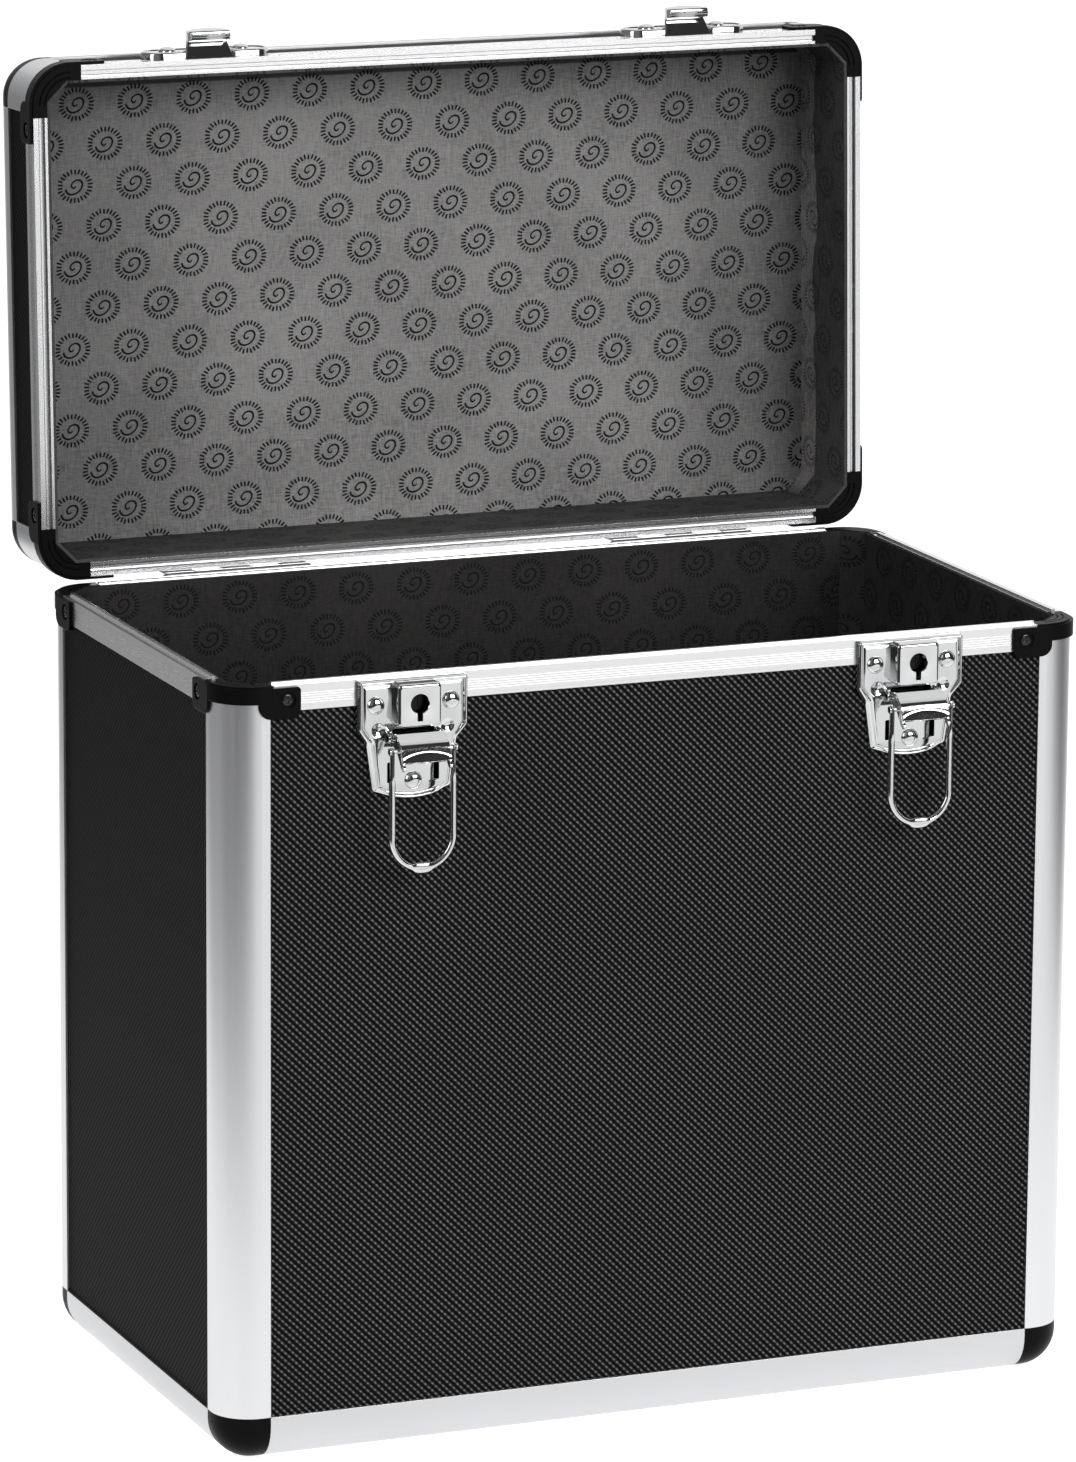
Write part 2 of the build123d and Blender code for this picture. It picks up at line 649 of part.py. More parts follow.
def latch_lever():
    lever = across(lever_outline(), -LEVER_HALF, LEVER_HALF)
    for side in (-1, 1):
        x0 = min(side * LEVER_HALF, side * (LEVER_HALF - LEVER_SHEET))
        x1 = x0 + LEVER_SHEET
        lever += across(Polygon(*CHEEK, align=None), x0, x1)
        lever += across(Polygon(*HOOK, align=None), x0, x1)
        lever += rod_x(-LEVER_PIVOT_DROP, LEVER_PIVOT_OUT, x0, x1, LEVER_BOSS_R)
        lever += rod_x(-BAIL_PIN_DROP, BAIL_PIN_OUT, x0, x1, LEVER_BOSS_R)
    lever -= rod_x(-LEVER_PIVOT_DROP, LEVER_PIVOT_OUT, -PLATE_HALF, PLATE_HALF, LEVER_PIN_R + RUN_CLEAR)
    lever -= rod_x(-BAIL_PIN_DROP, BAIL_PIN_OUT, -PLATE_HALF, PLATE_HALF, BAIL_PIN_R + RUN_CLEAR)
    return FRONT * lever


def lever_pin():
    end = LUG_IN + EAR_LUG_T
    return FRONT * rod_x(-LEVER_PIVOT_DROP, LEVER_PIVOT_OUT, -end, end, LEVER_PIN_R)


def bail_pin():
    eye = BAIL_HALF + BAIL_FLAT_T / 2 + PIN_SIDE_GAP
    pin = rod_x(-BAIL_PIN_DROP, BAIL_PIN_OUT, -eye, eye, BAIL_PIN_R)
    for x0 in (-eye - PIN_END, eye):
        pin += rod_x(-BAIL_PIN_DROP, BAIL_PIN_OUT, x0, x0 + PIN_END, BAIL_PIN_R + PIN_END)
    return FRONT * pin


def latch_bail():
    """Wire bail hanging from its pin: two legs joined by a half circle, flattened at the eyes."""
    top = -BAIL_PIN_DROP
    knee = top - BAIL_LEN + BAIL_HALF
    start = top - BAIL_FLAT_END + BAIL_EYE_R
    wire = Pos(0, knee, BAIL_PIN_OUT) * Torus(BAIL_HALF, BAIL_WIRE_R)
    wire = wire & block(-2 * BAIL_HALF, 2 * BAIL_HALF, knee - 2 * BAIL_HALF, knee, 0, 2 * BAIL_PIN_OUT)
    for side in (-1, 1):
        x = side * BAIL_HALF
        leg = Pos(x, (knee + start) / 2, BAIL_PIN_OUT) * Rot(90, 0, 0) * Cylinder(BAIL_WIRE_R, start - knee)
        flat = block(x - BAIL_FLAT_T / 2, x + BAIL_FLAT_T / 2, top - BAIL_FLAT_END, top,
                     BAIL_PIN_OUT - BAIL_EYE_R, BAIL_PIN_OUT + BAIL_EYE_R)
        flat += rod_x(top, BAIL_PIN_OUT, x - BAIL_FLAT_T / 2, x + BAIL_FLAT_T / 2, BAIL_EYE_R)
        wire = wire + leg + flat
    wire -= rod_x(top, BAIL_PIN_OUT, -2 * BAIL_HALF, 2 * BAIL_HALF, BAIL_PIN_R + RUN_CLEAR)
    pressed = BAIL_PIN_OUT + BAIL_WIRE_R - BAIL_PRESS
    wire -= block(-BAIL_PRESS_HALF, BAIL_PRESS_HALF, top - BAIL_LEN - 2 * BAIL_WIRE_R,
                  top - BAIL_LEN + 2 * BAIL_WIRE_R, pressed, 2 * BAIL_PIN_OUT)
    return FRONT * wire


def body_rivets():
    latch = [FRONT * rivet(x, y, PLATE_T) for x, y in latch_rivet_spots()]
    spread = [moved for piece in latch for moved in both_latches(piece)]
    hinge = [REAR * rivet(x, y, LEAF_T) for x, y in leaf_rivet_spots(-LEAF_RIVET_DROP)]
    return solids_of(spread + hinge)


# ---- lid catches --------------------------------------------------------------------------
def catch_pan(inset, z0, z1):
    face = RectangleRounded(2 * (CATCH_HALF - inset), CATCH_Z1 - CATCH_Z0 - 2 * inset, CATCH_R - inset)
    return drawn_on(Plane(origin=(0, (CATCH_Z0 + CATCH_Z1) / 2, z0)), face, z1 - z0)


def catch_hump(inset, out):
    """Raised nose of the catch, rounded to sit inside the bend of the closed bail."""
    bend = BAIL_HALF - BAIL_WIRE_R - BAIL_CATCH_GAP - inset
    bend_z = bail_bend_height()
    nose = block(-HUMP_HALF + inset, HUMP_HALF - inset, CATCH_Z0 + inset, bend_z + bend, 0, out)
    return nose & rod(0, bend_z, 0, out, bend)


def bail_bend_height():
    """Height above the lid rim of the bail's half-circle centre when the latch is shut."""
    turn = math.radians(LEVER_CLOSE_DEG)
    out = BAIL_PIN_OUT - LEVER_PIVOT_OUT
    up = LEVER_PIVOT_DROP - BAIL_PIN_DROP
    pin_z = -LEVER_PIVOT_DROP - out * math.sin(turn) + up * math.cos(turn)
    reach = (BAIL_LEN - BAIL_HALF) * -math.cos(math.radians(BAIL_SWING_DEG))
    return pin_z + reach - LID_GAP


def lid_catch():
    pan = catch_pan(0, -SKIN, CATCH_T)
    front_face = pan.faces().sort_by(Axis.Z)[-1]
    pan = fillet(front_face.edges(), PLATE_ROUND)
    ramp = Polygon((-RAMP_HALF, CATCH_T), (RAMP_HALF, CATCH_T), (HUMP_HALF, RAMP_OUT),
                   (-HUMP_HALF, RAMP_OUT), align=None)
    plane = Plane(origin=(0, CATCH_Z0 + RAMP_DEEP, 0), x_dir=(1, 0, 0), z_dir=(0, -1, 0))
    nose = catch_hump(0, HUMP_OUT)
    top_face = nose.faces().sort_by(Axis.Z)[-1]
    nose = fillet(top_face.edges(), HUMP_ROUND)
    catch = pan + nose + drawn_on(plane, ramp, RAMP_DEEP)
    catch -= catch_pan(PLATE_SHEET, -WALL, CATCH_T - PLATE_SHEET)
    catch -= catch_hump(PLATE_SHEET, HUMP_OUT - PLATE_SHEET)
    catch -= block(-CASE_WIDTH, CASE_WIDTH, -RAIL_H, RAIL_H, -WALL, 0)
    holes = [rod(x, y, 0, CATCH_T, RIVET_R + HOLE_CLEAR) for x, y in catch_rivet_spots()]
    return LID_FRONT * cut_all(catch, holes)


def lid_rivets():
    catch = [LID_FRONT * rivet(x, y, CATCH_T) for x, y in catch_rivet_spots()]
    spread = [moved for piece in catch for moved in both_latches(piece)]
    hinge = [LID_REAR * rivet(x, y, LEAF_T) for x, y in leaf_rivet_spots(LEAF_RIVET_DROP)]
    handle = [LID_FACE * rivet(x, y, BRACKET_SHEET) for x, y in bracket_rivet_spots()]
    return solids_of(spread + hinge + [Pos(0, 0, SKIN) * piece for piece in handle])


# ---- hinges -------------------------------------------------------------------------------
def knuckle_spans(of_lid):
    width = (HINGE_W - KNUCKLE_GAP * (HINGE_KNUCKLES - 1)) / HINGE_KNUCKLES
    first = 1 if of_lid else 0
    spans = []
    for index in range(first, HINGE_KNUCKLES, 2):
        x0 = -HINGE_W / 2 + index * (width + KNUCKLE_GAP)
        spans.append((x0, x0 + width))
    return spans


def hinge_leaf_body():
    """Body half of one hinge, drawn about x = 0 in the frame of the rear face."""
    low = -HINGE_DROP - LEAF_H
    leaf = block(-HINGE_W / 2, HINGE_W / 2, low, -HINGE_DROP - KNUCKLE_R - KNUCKLE_GAP, 0, LEAF_T)
    leaf += block(-HINGE_W / 2, HINGE_W / 2, low, -RAIL_H, -SKIN, 0)
    for x0, x1 in knuckle_spans(False):
        leaf += rod_x(-HINGE_DROP, HINGE_BACK, x0, x1, KNUCKLE_R)
        leaf += block(x0, x1, -HINGE_DROP - KNUCKLE_R - KNUCKLE_GAP, -HINGE_DROP, 0, LEAF_T)
    leaf -= rod_x(-HINGE_DROP, HINGE_BACK, -HINGE_W, HINGE_W, HINGE_PIN_R)
    holes = [rod(x, -LEAF_RIVET_DROP, -SKIN, LEAF_T, RIVET_R + HOLE_CLEAR)
             for x in (-LEAF_RIVET_X, 0, LEAF_RIVET_X)]
    return REAR * cut_all(leaf, holes)


def hinge_leaf_lid():
    """Lid half of one hinge, with the stop tails that meet the body leaf when open."""
    axis_z = -HINGE_DROP - LID_GAP
    clear = axis_z + KNUCKLE_R + KNUCKLE_GAP
    leaf = block(-HINGE_W / 2, HINGE_W / 2, clear, LEAF_H, 0, LEAF_T)
    leaf += block(-HINGE_W / 2, HINGE_W / 2, RAIL_H, LEAF_H, -SKIN, 0)
    for x0, x1 in knuckle_spans(True):
        knuckle = rod_x(axis_z, HINGE_BACK, x0, x1, KNUCKLE_R)
        knuckle += block(x0, x1, axis_z, clear + KNUCKLE_GAP, HINGE_BACK - KNUCKLE_R,
                         HINGE_BACK - KNUCKLE_R + LEAF_T)
        leaf += knuckle
    leaf = LID_REAR * leaf
    for x0, x1 in knuckle_spans(True):
        tail_y = HALF_D + LEAF_T + KNUCKLE_GAP
        tail = block(x0, x1, tail_y, tail_y + LEAF_T, HINGE_Z - TAIL_LEN, HINGE_Z - LEAF_T)
        leaf += SWUNG.inverse() * tail
    bore = HINGE_AXIS * rod_x(0, 0, -HINGE_W, HINGE_W, HINGE_PIN_R + RUN_CLEAR)
    holes = [LID_REAR * rod(x, LEAF_RIVET_DROP, -SKIN, LEAF_T, RIVET_R + HOLE_CLEAR)
             for x in (-LEAF_RIVET_X, 0, LEAF_RIVET_X)]
    return cut_all(leaf, [bore] + holes)


def hinge_pin():
    half = HINGE_W / 2
    pin = rod_x(0, 0, -half, half, HINGE_PIN_R)
    pin += rod_x(0, 0, -half - PIN_END, -half, KNUCKLE_R - PIN_END)
    pin += rod_x(0, 0, half, half + PIN_END, KNUCKLE_R - PIN_END)
    return HINGE_AXIS * pin


def both_hinges(piece):
    return solids_of([Pos(-HINGE_X, 0, 0) * piece, Pos(HINGE_X, 0, 0) * piece])


# ---- carrying handle ----------------------------------------------------------------------
def bracket_rivet_spots():
    spots = []
    for side in (-1, 1):
        for shift in (-BRACKET_RIVET_X, BRACKET_RIVET_X):
            spots.append((side * HANDLE_HALF + shift, 0))
    return spots


def bracket_holes():
    tools = []
    for x, y in bracket_rivet_spots():
        shank = rod(x, y, -BOARD, 0, RIVET_R + HOLE_CLEAR)
        tools.append(LID_FACE * shank)
    return tools


def handle_bracket():
    base = block(-BRACKET_W / 2, BRACKET_W / 2, -BRACKET_L / 2, BRACKET_L / 2, 0, BRACKET_SHEET)
    base = fillet(base.edges().filter_by(Axis.Z), BRACKET_ROUND)
    for side in (-1, 1):
        x = side * (ARM_HALF + BRACKET_GAP + BRACKET_SHEET / 2)
        half = BRACKET_SHEET / 2
        base += block(x - half, x + half, -BRACKET_LUG, BRACKET_LUG, 0, HANDLE_PIVOT_H)
        base += rod_x(0, HANDLE_PIVOT_H, x - half, x + half, BRACKET_LUG)
    base -= rod_x(0, HANDLE_PIVOT_H, -BRACKET_W, BRACKET_W, HANDLE_PIN_R)
    holes = [rod(x, 0, 0, BRACKET_SHEET, RIVET_R + HOLE_CLEAR) for x in (-BRACKET_RIVET_X, BRACKET_RIVET_X)]
    return LID_FACE * cut_all(base, holes)


def handle_grip():
    """Moulded handle folded flat towards the rear edge."""
    end = HANDLE_HALF + ARM_HALF
    grip = block(-end, end, HANDLE_REACH - GRIP_RX, HANDLE_REACH + GRIP_RX, -GRIP_RY, GRIP_RY)
    grip = fillet(grip.edges().filter_by(Axis.X), GRIP_ROUND)
    for side in (-1, 1):
        x = side * HANDLE_HALF
        grip += block(x - ARM_HALF, x + ARM_HALF, 0, HANDLE_REACH, -ARM_R, ARM_R)
        grip += rod_x(0, 0, x - ARM_HALF, x + ARM_HALF, ARM_R)
    grip -= rod_x(0, 0, -2 * HANDLE_HALF, 2 * HANDLE_HALF, HANDLE_PIN_R + RUN_CLEAR)
    return LID_FACE * Pos(0, 0, HANDLE_PIVOT_H) * grip


def handle_pin():
    end = ARM_HALF + BRACKET_GAP + BRACKET_SHEET
    pin = rod_x(0, HANDLE_PIVOT_H, -end, end, HANDLE_PIN_R)
    for x0 in (-end - PIN_END, end):
        pin += rod_x(0, HANDLE_PIVOT_H, x0, x0 + PIN_END, HANDLE_PIN_R + PIN_END)
    return LID_FACE * pin


def both_brackets(piece):
    return solids_of([Pos(-HANDLE_HALF, 0, 0) * piece, Pos(HANDLE_HALF, 0, 0) * piece])


# ---- linings ------------------------------------------------------------------------------
def lining_sleeve(z0, z1):
    return octagon(WALL, LINING_CUT_OUT, z0, z1) - octagon(LINING_IN, INNER_CHAMFER, z0, z1)


# ---- export -------------------------------------------------------------------------------
def save(name, pieces):
    if not isinstance(pieces, list):
        pieces = [pieces]
    solids = solids_of(pieces)
    shape = solids[0] if len(solids) == 1 else Compound(children=solids)
    export_step(shape, os.path.join("parts", name + ".step"))


def save_lid(name, pieces):
    if not isinstance(pieces, list):
        pieces = [pieces]
    save(name, [SWUNG * piece for piece in pieces])


def save_pair(name, piece):
    left, right = both_latches(piece)
    save(name + "_left", left)
    save(name + "_right", right)


def build_body():
    for name, board in body_boards().items():
        save("body_panel_" + name, board)
    for name, piece in rim_rails(False).items():
        save("body_rim_" + name, piece)
    save("body_corner_profiles", ring_of_corners(upright_profile(LEG, BODY_HEIGHT - BAND_H)))
    save("bottom_profiles_long", front_and_rear(long_edge_profile()))
    save("bottom_profiles_short", left_and_right(short_edge_profile()))
    save("bottom_ball_corners", ring_of_corners(ball_corner()))
    save("body_rim_corners", ring_of_corners(rim_corner()))
    save("body_rim_screws", corner_screws())
    save("body_lining_walls", lining_sleeve(LINING_IN, BODY_HEIGHT - LID_GAP))
    save("body_lining_floor", octagon(WALL, LINING_CUT_OUT, WALL, LINING_IN))
    save("hinge_leaves_body", both_hinges(hinge_leaf_body()))
    save("hinge_pins", both_hinges(hinge_pin()))
    save("body_rivets", body_rivets())


def build_latches():
    save_pair("latch_plate", latch_plate())
    save_pair("lock_case", lock_case())
    save_pair("lock_cam", lock_cam())
    save_pair("latch_lever", latch_lever())
    save_pair("bail_pin", bail_pin())
    save_pair("latch_bail", latch_bail())
    save("lever_pins", both_latches(lever_pin()))


def build_lid():
    for name, board in lid_boards().items():
        save_lid("lid_panel_" + name, board)
    for name, piece in rim_rails(True).items():
        save_lid("lid_rim_" + name, piece)
    uprights = ring_of_corners(upright_profile(LID_BASE + BAND_H, LID_TOP - LEG))
    save_lid("lid_corner_profiles", uprights)
    save_lid("lid_top_profiles_long", [mirror(p, END_MIRROR) for p in front_and_rear(long_edge_profile())])
    save_lid("lid_top_profiles_short", [mirror(p, END_MIRROR) for p in left_and_right(short_edge_profile())])
    save_lid("lid_ball_corners", [mirror(p, END_MIRROR) for p in ring_of_corners(ball_corner())])
    save_lid("lid_rim_corners", for_lid(ring_of_corners(rim_corner())))
    save_lid("lid_rim_screws", for_lid(corner_screws()))
    save_lid("lid_lining_walls", lining_sleeve(LID_BASE + LID_GAP, LID_TOP - LINING_IN))
    save_lid("lid_lining_top", octagon(WALL, LINING_CUT_OUT, LID_TOP - LINING_IN, LID_TOP - WALL))
    left, right = both_latches(lid_catch())
    save_lid("lid_catch_left", left)
    save_lid("lid_catch_right", right)
    save_lid("hinge_leaves_lid", both_hinges(hinge_leaf_lid()))
    save_lid("lid_rivets", lid_rivets())
    save_lid("handle_brackets", both_brackets(handle_bracket()))
    save_lid("handle_pins", both_brackets(handle_pin()))
    save_lid("handle_grip", handle_grip())


os.makedirs("parts", exist_ok=True)
build_body()
build_latches()
build_lid()
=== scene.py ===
# %% [markdown]
# # Record carrying case
# A case for twelve-inch records: black boards held in aluminium edges, moulded black corners,
# two draw latches on the front and a lid that stands open on two hinges.
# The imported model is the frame: its nodes are already in place and ride on their bodies.
# Lengths are in metres, in the model's own frame, unless a cell says that it works in millimetres.

# %% Load the frame
import math
import bmesh
import bpy
import numpy as np
from mathutils import Matrix, Vector
from mathutils.geometry import tessellate_polygon


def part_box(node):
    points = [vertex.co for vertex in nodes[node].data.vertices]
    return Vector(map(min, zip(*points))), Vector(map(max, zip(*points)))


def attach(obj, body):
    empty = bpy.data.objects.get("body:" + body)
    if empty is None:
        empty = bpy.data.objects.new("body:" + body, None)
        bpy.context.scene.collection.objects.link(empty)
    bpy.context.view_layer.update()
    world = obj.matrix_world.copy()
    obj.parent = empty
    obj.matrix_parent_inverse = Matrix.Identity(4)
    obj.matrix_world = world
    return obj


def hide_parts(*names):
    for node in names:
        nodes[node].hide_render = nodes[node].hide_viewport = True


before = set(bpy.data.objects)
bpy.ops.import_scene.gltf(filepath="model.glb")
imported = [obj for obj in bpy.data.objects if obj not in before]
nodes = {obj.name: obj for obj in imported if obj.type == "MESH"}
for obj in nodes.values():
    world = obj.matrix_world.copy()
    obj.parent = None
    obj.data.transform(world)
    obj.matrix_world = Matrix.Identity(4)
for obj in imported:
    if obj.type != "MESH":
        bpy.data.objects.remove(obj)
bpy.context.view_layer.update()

# %% [markdown]
# The sizes that several cells share. The width and depth come from a node's own box, so the added pieces
# stay on what carries them. The lid is drawn shut, above the body by the rim's gap, and the matrix swings
# it open about the hinge line.

# %% Shared sizes
MM = 0.001
HALF_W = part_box("bottom_ball_corners")[1][0]
HALF_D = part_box("bottom_ball_corners")[1][1]
BODY_H = 0.299
RIM_GAP, LID_H = 0.3 * MM, 49.5 * MM
LID_BASE = BODY_H + RIM_GAP
LID_TOP = LID_BASE + LID_H
OPEN = math.radians(92.3)
AXIS_BEHIND, AXIS_BELOW = 3.05 * MM, 1.7 * MM
AXIS = Vector((0.0, HALF_D + AXIS_BEHIND, BODY_H - AXIS_BELOW))
SWUNG = Matrix.Translation(AXIS) @ Matrix.Rotation(-OPEN, 4, "X") @ Matrix.Translation(-AXIS)
print("half width", HALF_W, "half depth", HALF_D)

# %% [markdown]
# The camera stands in front of the case, a little to its left and above it, far away with a long lens,
# so that upright edges stay almost parallel. The focal length and the picture's height are counted in the
# same steps, and the sensor turns them into millimetres.

# %% Camera
AZIMUTH, ELEVATION, ROLL = math.radians(-22.3741), math.radians(12.8279), math.radians(0.4155)
DISTANCE, FOCUS = 2.98415, Vector((-0.009218, 0.0, 0.249183))
FOCAL_STEPS, PICTURE_STEPS, SENSOR = 7718.05, 1462, 36
LENS = FOCAL_STEPS * SENSOR / PICTURE_STEPS
back = Vector((math.sin(AZIMUTH) * math.cos(ELEVATION), -math.cos(AZIMUTH) * math.cos(ELEVATION),
               math.sin(ELEVATION)))
camera_data = bpy.data.cameras.new("camera")
camera_data.lens = LENS
camera_data.sensor_width = SENSOR
camera_data.clip_start = 0.1
camera_data.clip_end = 50
camera = bpy.data.objects.new("camera", camera_data)
camera.rotation_mode = "QUATERNION"
camera.rotation_quaternion = back.to_track_quat("Z", "Y") @ Matrix.Rotation(ROLL, 4, "Z").to_quaternion()
camera.location = FOCUS + back * DISTANCE
bpy.context.scene.collection.objects.link(camera)
bpy.context.scene.camera = camera
print("lens", round(LENS, 2))

# %% [markdown]
# Shader maths reads best as plain expressions. A small class wraps a node socket, and each operator on
# it adds the Math node that does the sum.

# %% Shader expressions
class Socket:
    """A node's output. Sums with it are written with plain operators."""
    def __init__(self, shader, socket):
        self.shader = shader
        self.socket = socket

    def maths(self, operation, *others):
        return self.shader.node("ShaderNodeMath", {"operation": operation}, [self, *others])

    def __add__(self, other):
        return self.maths("ADD", other)

    def __sub__(self, other):
        return self.maths("SUBTRACT", other)

    def __rsub__(self, other):
        return self.shader.node("ShaderNodeMath", {"operation": "SUBTRACT"}, [other, self])

    def __mul__(self, other):
        return self.maths("MULTIPLY", other)

    def __truediv__(self, other):
        return self.maths("DIVIDE", other)

    def __pow__(self, other):
        return self.maths("POWER", other)

    __radd__ = __add__
    __rmul__ = __mul__

    def over(self, low, high):
        """1 above high, 0 below low, a straight ramp between."""
        return self.shader.node("ShaderNodeMapRange", {"clamp": True}, [self, low, high, 0.0, 1.0])

    def smooth(self, low, high):
        """The same, with a soft start and end to the ramp."""
        soft = {"interpolation_type": "SMOOTHSTEP"}
        return self.shader.node("ShaderNodeMapRange", soft, [self, low, high, 0.0, 1.0])


class Shader:
    """A material being built. node() takes a type, its settings and the values of its inputs."""
    def __init__(self, name):
        self.material = bpy.data.materials.new(name)
        self.material.use_nodes = True
        self.tree = self.material.node_tree
        self.principled = self.tree.nodes["Principled BSDF"]

    def node(self, kind, settings=None, inputs=None, output=0):
        made = self.tree.nodes.new(kind)
        for key, value in (settings or {}).items():
            setattr(made, key, value)
        pairs = inputs.items() if isinstance(inputs, dict) else enumerate(inputs or [])
        for key, value in pairs:
            if isinstance(value, Socket):
                self.tree.links.new(value.socket, made.inputs[key])
            else:
                made.inputs[key].default_value = value
        return Socket(self, made.outputs[output])

    def place(self):
        """The point on the object, in metres."""
        return self.node("ShaderNodeTexCoord", output="Object")

    def along(self, direction, offset=0.0):
        """How far the point lies along a direction."""
        return self.node("ShaderNodeVectorMath", {"operation": "DOT_PRODUCT"},
                         [self.place(), direction], output="Value") + offset

    def noise(self, scale, detail=2.0, where=None):
        return self.node("ShaderNodeTexNoise", None,
                         {"Vector": where or self.place(), "Scale": scale, "Detail": detail})

    def drawn_noise(self, scales, detail):
        """Noise stretched by its own scale along each axis."""
        stretched = self.node("ShaderNodeMapping", None, {"Vector": self.place(), "Scale": scales})
        return self.noise(1.0, detail, stretched)

    def mix(self, factor, low, high):
        """Colour between low and high."""
        made = self.tree.nodes.new("ShaderNodeMix")
        made.data_type = "RGBA"
        for slot, value in ((0, factor), (6, low), (7, high)):
            if isinstance(value, Socket):
                self.tree.links.new(value.socket, made.inputs[slot])
            else:
                made.inputs[slot].default_value = value if slot == 0 else (*value, 1.0)
        return Socket(self, made.outputs[2])

    def set(self, **values):
        """Fill inputs of the Principled shader; a tuple is a colour."""
        for key, value in values.items():
            socket = self.principled.inputs[key.replace("_", " ")]
            if isinstance(value, Socket):
                self.tree.links.new(value.socket, socket)
            elif isinstance(value, tuple):
                socket.default_value = (*value, 1.0)
            else:
                socket.default_value = value

    def bump(self, height, distance, strength=1.0, normal=None):
        inputs = {"Height": height, "Distance": distance, "Strength": strength}
        if normal:
            inputs["Normal"] = normal
        return self.node("ShaderNodeBump", None, inputs)

    def soft_edges(self, radius):
        return self.node("ShaderNodeBevel", {"samples": 6}, {"Radius": radius})


def dress(material, *names):
    """Give whole CAD nodes one material."""
    for name in names:
        data = nodes[name].data
        data.materials.clear()
        data.materials.append(material)


# %% [markdown]
# The boards wear a ribbed black skin: rows of small raised lozenges that run down to the right, two
# millimetres apart. Two waves that cross almost at a right angle make the lozenges: one gives the rows, the
# other breaks each row into dashes. Each wave is given as its turns per metre across and up the board.
# The lozenges' lighter colour is painted highlight, where their tops catch the light: strong on the front
# and the lid, weaker below and faint on the sides.

# %% Board skin
ROW_WAVE, DASH_WAVE = (345.1, 348.3), (342.5, 364.6)


def board_skin(name, across, up, lozenge_highlight, base=(0.0035, 0.0035, 0.0037)):
    s = Shader(name)
    u, v = s.along(across), s.along(up)
    rows = (u * (ROW_WAVE[0] * math.tau) + v * (ROW_WAVE[1] * math.tau)).maths("COSINE")
    dashes = (u * (DASH_WAVE[0] * math.tau) - v * (DASH_WAVE[1] * math.tau)).maths("COSINE")
    ridge = (rows * 0.5 + 0.5) ** 2.2
    lump = ridge * ((dashes * 0.5 + 0.5) * 0.7 + 0.3)
    speckle = s.noise(900.0)
    tone = s.noise(14.0)
    # Painted highlight: the lozenges are drawn lighter where their tops would catch the light.
    highlight = (lump ** 1.6) * (speckle * 0.7 + 0.65)
    s.set(Base_Color=s.mix(highlight * (tone * 0.4 + 0.8), base, lozenge_highlight), Roughness=0.6 - highlight * 0.15,
          Normal=s.bump(lump, 0.00022, 0.8), Specular_IOR_Level=0.04)
    return s.material


front_skin = board_skin("front_skin", (1, 0, 0), (0, 0, 1), (0.23, 0.23, 0.235))
side_skin = board_skin("side_skin", (0, 1, 0), (0, 0, 1), (0.014, 0.014, 0.0145), (0.006, 0.006, 0.0065))
flat_skin = board_skin("flat_skin", (1, 0, 0), (0, 1, 0), (0.15, 0.15, 0.155))
lid_skin = board_skin("lid_skin", (1, 0, 0), (0, 1, 0), (0.2, 0.2, 0.205))
dress(front_skin, "body_panel_front", "body_panel_rear", "lid_panel_top")
dress(side_skin, "body_panel_left", "body_panel_right", "lid_panel_left", "lid_panel_right")
dress(flat_skin, "body_panel_bottom")
dress(lid_skin, "lid_panel_front", "lid_panel_rear")

# %% [markdown]
# The edges are extruded aluminium with a satin anodised skin. Drawing the metal through its die leaves
# very fine lines along its length, which spread its highlights. A grain is how dense those lines are along
# x, y and z: sparse along the piece and dense across it. On the lid's rails thin darker lines stand for the
# shadow in the reeds.

# %% Aluminium
ALONG_X, ALONG_Y, ALONG_Z = (12.0, 2500.0, 2500.0), (2500.0, 12.0, 2500.0), (2500.0, 2500.0, 12.0)
SATIN = ((0.74, 0.745, 0.76), 0.34, 0.00035, 0.3)
# The same satin, darker: painted shade on the lying profiles.
SATIN_SHADED = ((0.62, 0.625, 0.64), 0.34, 0.00035, 0.3)
RAIL = ((0.78, 0.78, 0.79), 0.26, 0.00005, 0.0)


def satin_aluminium(name, grain, finish, reeds=None):
    """finish is (colour, roughness, radius of the softened edges in metres, strength of the drawn lines).
    reeds is (direction, middle, edge, start, pitch, count). The edge is a distance from the middle, in
    metres. The lines are counted inwards from it, and their start and pitch are in millimetres."""
    colour, roughness, bevel, draw = finish
    s = Shader(name)
    lines = s.drawn_noise(grain, 3.0)
    cloud = s.noise(9.0)
    tint = s.mix(cloud, tuple(c * 0.96 for c in colour), colour)
    if reeds:
        direction, middle, edge, start, pitch, count = reeds
        across = s.along(direction, -middle).maths("ABSOLUTE")
        depth = (across * -1000.0 + (edge * 1000.0 - start)) / pitch + 0.5
        groove = 1 - (depth.maths("FRACT") - 0.5).maths("ABSOLUTE").over(0.15 / pitch, 0.35 / pitch)
        inside = depth.maths("GREATER_THAN", 0.0) * (1 - depth.maths("GREATER_THAN", float(count)))
        tint = s.mix(groove * inside * 0.7, tint, (0.2, 0.2, 0.21))
    normal = s.soft_edges(bevel)
    if draw:
        normal = s.bump(lines, 0.00001, draw, normal)
    s.set(Base_Color=tint, Metallic=1.0, Roughness=lines * 0.08 + (roughness - 0.04), Normal=normal)
    return s.material


